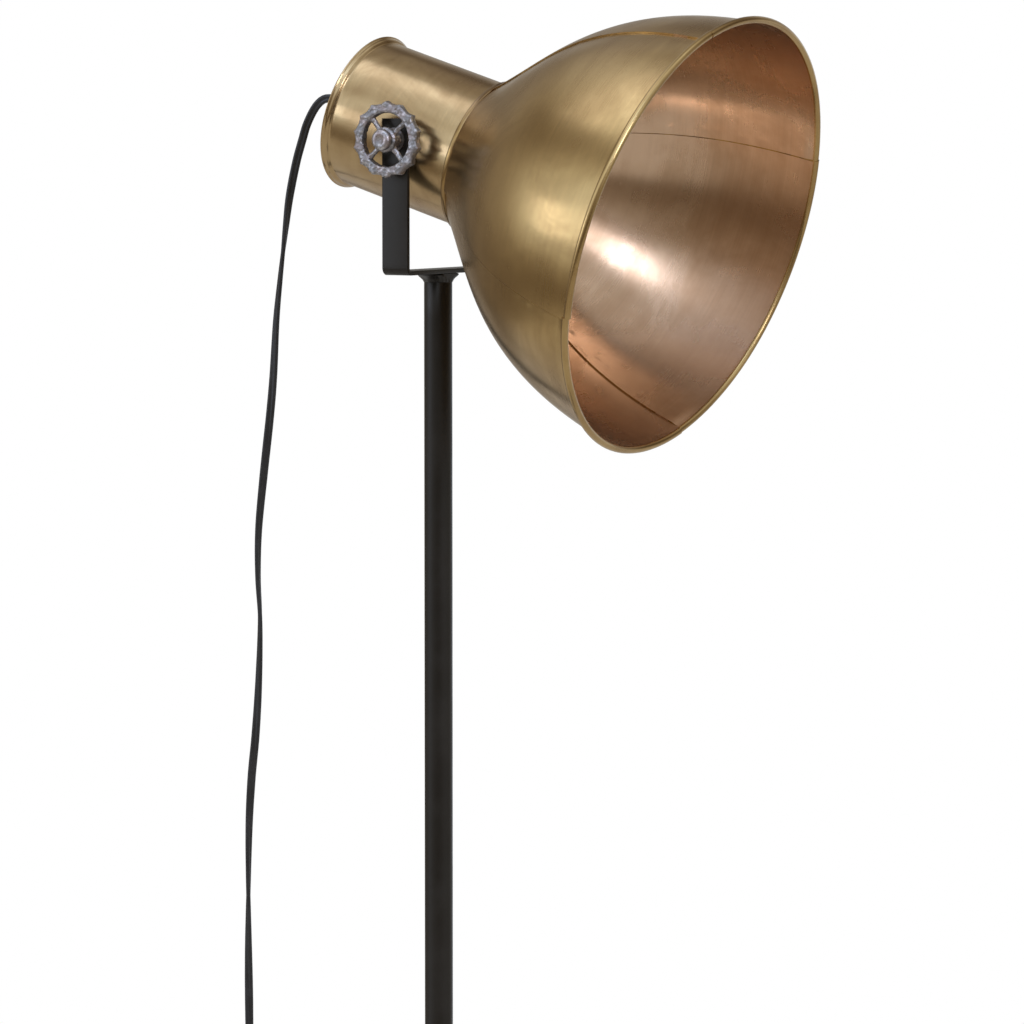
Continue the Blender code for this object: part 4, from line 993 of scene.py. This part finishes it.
class MakeShade(LampOperator, bpy.types.Operator):
    """Make the shade's four lapped gores with their rolled mouth edge"""

    bl_idname = "lamp.make_shade"
    bl_label = "Shade"

    def make(self, sizes):
        for index in range(4):
            work = modified(gore_mesh(index, sizes),
                            ("SOLIDIFY", {"thickness": sizes.sheet, "offset": 0.0}))
            self.sort_faces(work, SEAMS[index], SEAMS[index + 1], sizes)
            piece(f"gore_{index + 1}", work, "head", "antique_brass",
                  ["brass", "inner_brass", "grime"], [f"shade_panel_{index + 1}"],
                  matrix=HEAD, recalc=False)

    def sort_faces(self, work, first, last, sizes):
        """Outside brass 0, inside 1, and the dark lines along the seams 2: painted shade of the
        laps' steps, with stain.
        """
        layer = work.loops.layers.uv["turned"]
        edge = last + math.degrees(sizes.lap / SHADE_END.x) - EDGE_SHADE_AND_DIRT
        for face in work.faces:
            middle = face.calc_center_median()
            facing = face.normal.xy.dot(middle.xy.normalized())
            turn = 360.0 * sum(loop[layer].uv.x for loop in face.loops) / len(face.loops)
            # outside, the strip at the gore's lapping edge: painted shade of the step, with stain
            if facing > 0.3 and turn > edge:
                face.material_index = 2
            elif facing > 0 or middle.z > SHADE_END.y - BEAD_FORWARD:
                face.material_index = 0
            # inside, beside the next gore's edge at the bottom seam: a painted shadow line of the
            # step
            elif last > 360.0 and last - INSIDE_SHADE_AND_DIRT < turn < last:
                face.material_index = 2
            else:
                # inside gore 1, beside its cut edge at the far seam: a painted shadow line of the
                # step
                face.material_index = 2 if first < 90.0 and turn < first + 0.3 else 1


# ---- cap

CAP_RADIUS, CAP_WALL = 0.0500, 0.0012


def wall_outline(line, wall):
    """Closed outline of a sheet from its middle line, with rounded ends."""
    outer, inner = [], []
    for i, point in enumerate(line):
        reach = outward(run_at(line, i)) * wall / 2
        outer.append(point + reach)
        inner.append(point - reach)
    ends = []
    for end, step in ((line[-1], line[-1] - line[-2]), (line[0], line[0] - line[1])):
        ends.append([end + wall / 2 * (outward(step) * math.cos(a)
                                       + step.normalized() * math.sin(a))
                     for a in [math.pi * k / 6 for k in range(1, 6)]])
    return [tuple(p) for p in outer + ends[0] + inner[::-1] + ends[1]]


class MakeCap(LampOperator, bpy.types.Operator):
    """Make the cap behind the shade, its end disc and the collar at the neck"""

    bl_idname = "lamp.make_cap"
    bl_label = "Cap"

    def make(self, sizes):
        line = [(0.0, 0.0436 - 0.0046 * i) for i in range(21)] + [(0.0, -0.0516), (0.0, -0.0526)]
        for bend, count in (([(0.0, -0.0532), (0.0, -0.0543), (0.0010, -0.0546),
                              (0.0018, -0.0554)], 8),
                            ([(0.0020, -0.0557), (0.0023, -0.0563), (0.0021, -0.0570),
                              (0.0028, -0.0578)], 6)):
            line += [tuple(p) for p in bezier(*[Vector(p) for p in bend], count)]
        line.append((0.0033, -0.0582))
        middle = CAP_RADIUS - CAP_WALL / 2
        line = [Vector((middle + out, z)) for out, z in line]
        cap = wall_outline(line[::-1], CAP_WALL)
        disc = [(0.0055, -0.0520), (0.0487, -0.0520), (0.0490, -0.0523), (0.0490, -0.0528),
                (0.0487, -0.0532), (0.0420, -0.0532), (0.0412, -0.0529), (0.0404, -0.0532),
                (0.0055, -0.0532)]
        inner, outer, low, high = 0.0499, 0.0534, 0.0401, 0.0441
        ring = eased([(inner, high), (outer, high), (outer, low), (inner, low)],
                     [0.0, 0.0012, 0.0012, 0.0003])
        for name, outline, steps, look, node in (
                ("brass_cap", cap, 180, "cap_brass", "rear_cap"),
                ("brass_end_disc", disc, 128, "brass", "rear_disc"),
                ("neck_ring", ring, 160, "neck_brass", "neck_collar")):
            piece(name, turned(outline, steps), "head", "antique_brass", [look], [node],
                  matrix=HEAD)


# ---- yoke and pole

YOKE_OUT, YOKE_LOW, YOKE_END = 0.0545, -0.0899, 0.014
BAR_WIDTH, BAR_THICKNESS, BAR_BEND = 0.020, 0.003, 0.0035
TUBE_RADIUS = 0.0095
COAT = "black_powder_coat"


def bar_rings(path, edge):
    """Rings of an eased flat bar along (x, z) points, its broad side along Y."""
    wide, thick = BAR_WIDTH / 2, BAR_THICKNESS / 2
    section = eased([(-wide, -thick), (wide, -thick), (wide, thick), (-wide, thick)],
                    [edge] * 4, 3)
    rings = []
    for i, point in enumerate(path):
        down = outward(run_at(path, i))
        rings.append([Vector((point.x - down.x * up, across, point.y - down.y * up))
                      for across, up in section])
    return rings


class MakeMast(LampOperator, bpy.types.Operator):
    """Make the yoke, the sliding tube and the weld between them"""

    bl_idname = "lamp.make_mast"
    bl_label = "Yoke and tube"

    def make(self, sizes):
        left, low = BAR_THICKNESS / 2 - YOKE_OUT, YOKE_LOW + BAR_THICKNESS / 2
        path = [(left, YOKE_END), (left, YOKE_END - 0.0002)]
        path += [(left, YOKE_END - 0.012 * i) for i in range(1, 9)]
        path += arc((left + BAR_BEND, low + BAR_BEND), BAR_BEND, 180, 270, 10)
        path += [(left + BAR_BEND + 0.012 * i, low) for i in range(1, 4)]
        path = [Vector(p) for p in path + [(-x, z) for x, z in reversed(path)]]
        work = skin(bar_rings(path, sizes.bar_edge), caps=True)
        piece("yoke_bar", work, "mast", COAT, ["coat"], ["yoke"],
              matrix=Matrix.Translation(PIVOT), crease=50)

        top, bottom = PIVOT.z + YOKE_LOW - GAP, 0.6200
        bevel, bore, radius = 0.0093, 0.0083, TUBE_RADIUS
        outline = [(bore, top), (bevel, top), (radius, top - 0.0003)]
        outline += [(radius, top - 0.0003 - (top - bottom - 0.0008) * k / 24)
                    for k in range(1, 25)]
        outline += [(bevel, bottom), (bore, bottom)]
        piece("sliding_tube", joined(turned(outline, 72), self.weld(top)), "mast", COAT,
              ["coat"], ["upper_tube"])

    def weld(self, top):
        """A rippled bead, drawn out along the bar and flat at its sides."""
        deep, side = 0.0060, 0.0099
        work = turned([(r, top - down) for r, down in (
            (0.0090, -0.0001), (0.0118, -0.0001), (0.0121, 0.0007), (0.0115, 0.0018),
            (0.0107, 0.0030), (0.0101, 0.0043), (0.0097, 0.0055), (0.0090, deep))], 120)
        for vert in work.verts:
            if vert.co.xy.length > 0.0094:
                a = math.atan2(vert.co.y, vert.co.x)
                ripple = 0.00015 * math.sin(19 * a + 2.2 * math.sin(3 * a))
                lump = 0.0005 * noise.noise(vert.co * 260)
                grow = 1 + (ripple + lump) / vert.co.xy.length
                vert.co.x *= grow * (1 + 0.40 * smooth_step(vert.co.z, top - deep, top))
                vert.co.y *= grow
            vert.co.y = max(-side, min(side, vert.co.y))
        return work


class MakeStand(LampOperator, bpy.types.Operator):
    """Make the outer tube, base plate and its collar"""

    bl_idname = "lamp.make_stand"
    bl_label = "Stand"

    def make(self, sizes):
        bore, radius, top, bottom = 0.0110, 0.0125, 0.7000, 0.0106
        tube = eased([(bore, top), (radius, top), (radius, bottom), (bore, bottom)],
                     [0.0004, 0.0006, 0.0, 0.0])
        hole, rim, face, under = 0.0115, 0.1500, 0.0103, 0.0023
        plate = eased([(hole, face), (rim, face), (rim, under), (hole, under)],
                      [0.0, 0.0030, 0.0010, 0.0], 6)
        collar = [(0.0128, 0.0106), (0.0200, 0.0106), (0.0200, 0.0226),
                  *arc((0.0165, 0.0336), 0.0020, 12, 90, 6), (0.0132, 0.0356), (0.0128, 0.0352)]
        for name, outline, steps, node, crease in (
                ("outer_tube", tube, 72, "lower_tube", 38),
                ("base_disc", plate, 256, "base_plate", 38),
                ("base_collar_skin", collar, 96, "base_collar", 30)):
            piece(name, turned(outline, steps), "stand", COAT, ["coat"], [node], crease=crease)


# ---- handwheels

WHEEL_PLANE, RIM_HALF = 0.0070, 0.0032
RIM_HOLE, RIM_REACH = 0.0178, 0.0257
SPOKES, SPOKE_START, SPOKE_RADIUS = 4, 40, 0.0025
HUB_TOP = 0.0122
WASHER = 0.0012
# step of the fused skin, and lumps in it to a metre
CAST_GRAIN, CAST_LUMPS = 0.00042, 420.0


def wheel_solid(sizes):
    """Overlapping shells of a handwheel, hub seat at height 0 and outwards along +Z."""
    rings = []
    for a in turns(392):
        dip = abs(math.sin(sizes.lobes * a / 2))
        outer = RIM_REACH - sizes.lobe_depth * dip ** 0.8
        half = RIM_HALF + 0.0004 * (1 - dip)
        section = eased([(RIM_HOLE, WHEEL_PLANE - RIM_HALF), (outer, WHEEL_PLANE - half),
                         (outer, WHEEL_PLANE + half), (RIM_HOLE, WHEEL_PLANE + RIM_HALF)],
                        [0.0011, 0.0017, 0.0017, 0.0011])
        rings.append([polar(r, a, z) for r, z in section])
    shells = [skin(rings, join=True)]
    for k in range(SPOKES):
        angle = SPOKE_START + 360 * k / SPOKES
        out, side = heading(angle), heading(angle + 90)
        rings = []
        for i in range(13):
            t = i / 12
            thick = SPOKE_RADIUS * (1 - 0.30 * math.sin(math.pi * t)
                                    + 0.5 * smooth_step(t, 0.86, 1.0))
            middle = out * (0.0050 + 0.0150 * t) + Vector((0, 0, WHEEL_PLANE))
            rings.append([middle + (side * math.cos(b) + Vector((0, 0, math.sin(b)))) * thick
                          for b in turns(12)])
        shells.append(skin(rings, caps=True))
    hub = turned([(0.0034, 0.0), (0.0062, 0.0), (0.0066, 0.0004), (0.0066, 0.0074),
                  (0.0084, 0.0088), (0.0086, 0.0104), (0.0080, 0.0115), (0.0066, 0.0121),
                  (0.0034, HUB_TOP)], 60)
    return joined(*shells, hub)


def bolt_solid(tip):
    """A bolt with a rough round head, seated on the hub, its shank down to the tip."""
    seat = HUB_TOP + GAP
    head = [(r, seat + up) for r, up in (
        (0.0, 0.0037), (0.0022, 0.0038), (0.0027, 0.0043), (0.0050, 0.0045), (0.0064, 0.0038),
        (0.0070, 0.0027), (0.0070, 0.0004), (0.0066, 0.0), (0.0030, 0.0))]
    work = turned(head + [(0.0030, tip + 0.0006), (0.0026, tip), (0.0, tip)], 48, closed=False)
    for vert in work.verts:
        if vert.co.z > HUB_TOP:
            vert.co += vert.co.normalized() * 0.00020 * noise.noise(vert.co * 500)
    return work


class MakeWheels(LampOperator, bpy.types.Operator):
    """Make the three cast handwheels with their bolts"""

    bl_idname = "lamp.make_wheels"
    bl_label = "Handwheels"

    def make(self, sizes):
        side_seat = YOKE_OUT + GAP + WASHER + GAP
        lock_seat = 0.0300 + GAP
        lock_tip = -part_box("lock_wheel_bolt")[1].x
        for body, centre, turn, seat, tip in (
                ("left_wheel", PIVOT, LEFTWARDS, side_seat, 0.0435),
                ("right_wheel", PIVOT, RIGHTWARDS, side_seat, 0.0435),
                ("lock_wheel", LOCK_POINT, LEFTWARDS, lock_seat, lock_tip)):
            place = Matrix.Translation(centre) @ turn @ Matrix.Translation((0, 0, seat))
            piece(f"{body}_casting", cast(wheel_solid(sizes), sizes.casting), body,
                  "cast_gunmetal", ["casting"], [body], matrix=place, crease=180)
            piece(f"{body}_screw", bolt_solid(tip - seat), body, "cast_gunmetal", ["casting"],
                  [f"{body}_bolt"], matrix=place, crease=50)


# ---- carried-over parts

NODE_FINISHES = {
    "coat": ["lock_collar"],
    "felt": ["base_felt"],
    "zinc": ["base_washer", "base_bolt", "tube_foot", "left_weld_nut", "right_weld_nut",
             "left_inner_washer", "right_inner_washer", "nipple", "nipple_nut", "holder_nut",
             "switch_screw_1", "switch_screw_2"],
    "casting": ["left_outer_washer", "right_outer_washer"],
    "nylon": ["guide_bush", "end_bush"],
    "porcelain": ["lampholder_body", "lampholder_insulator"],
    "contact": ["lampholder_sleeve", "lampholder_contact", "plug_pin_1", "plug_pin_2"],
    "plastic": ["cord_gland", "switch_back", "switch_front", "switch_rocker", "plug_body"],
    "rubber": ["strain_relief"],
}


class FinishFrameParts(LampOperator, bpy.types.Operator):
    """Give the frame's own parts their finishes"""

    bl_idname = "lamp.finish_frame_parts"
    bl_label = "Frame parts"

    def make(self, sizes):
        for name, parts in NODE_FINISHES.items():
            for part in parts:
                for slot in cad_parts[part].material_slots:
                    slot.material = finish(name)


# ---- panel and run

class LampPanel(bpy.types.Panel):
    """The lamp's pieces, sizes and colours"""

    bl_idname = "VIEW3D_PT_pharmacy_lamp"
    bl_label = "Pharmacy lamp"
    bl_space_type = "VIEW_3D"
    bl_region_type = "UI"
    bl_category = "Lamp"

    def draw(self, context):
        for operator in OPERATORS:
            self.layout.operator(operator.bl_idname)
        for name in GROUPS:
            owner = getattr(context.scene, name)
            box = self.layout.box()
            box.label(text=name.split("_")[1].title())
            for key in owner.bl_rna.properties.keys():
                if key not in ("rna_type", "name"):
                    box.prop(owner, key)


GROUPS = {"lamp_sizes": LampSizes, "lamp_colours": LampColours, "lamp_lights": LampLights}
OPERATORS = (MakeStage, MakeCords, MakeShade, MakeCap, MakeMast, MakeStand, MakeWheels,
             FinishFrameParts)
CLASSES = (*GROUPS.values(), *OPERATORS, LampPanel)


def register():
    """Add the settings groups, operators and panel."""
    for item in CLASSES:
        bpy.utils.register_class(item)
    for name, group in GROUPS.items():
        setattr(bpy.types.Scene, name, PointerProperty(type=group))


def unregister():
    """Take them away again, in reverse."""
    for name in GROUPS:
        delattr(bpy.types.Scene, name)
    for item in reversed(CLASSES):
        bpy.utils.unregister_class(item)


def main():
    """Make every piece and the stage."""
    register()
    for operator in OPERATORS:
        group, name = operator.bl_idname.split(".")
        getattr(getattr(bpy.ops, group), name)()


if __name__ == "__main__":
    main()
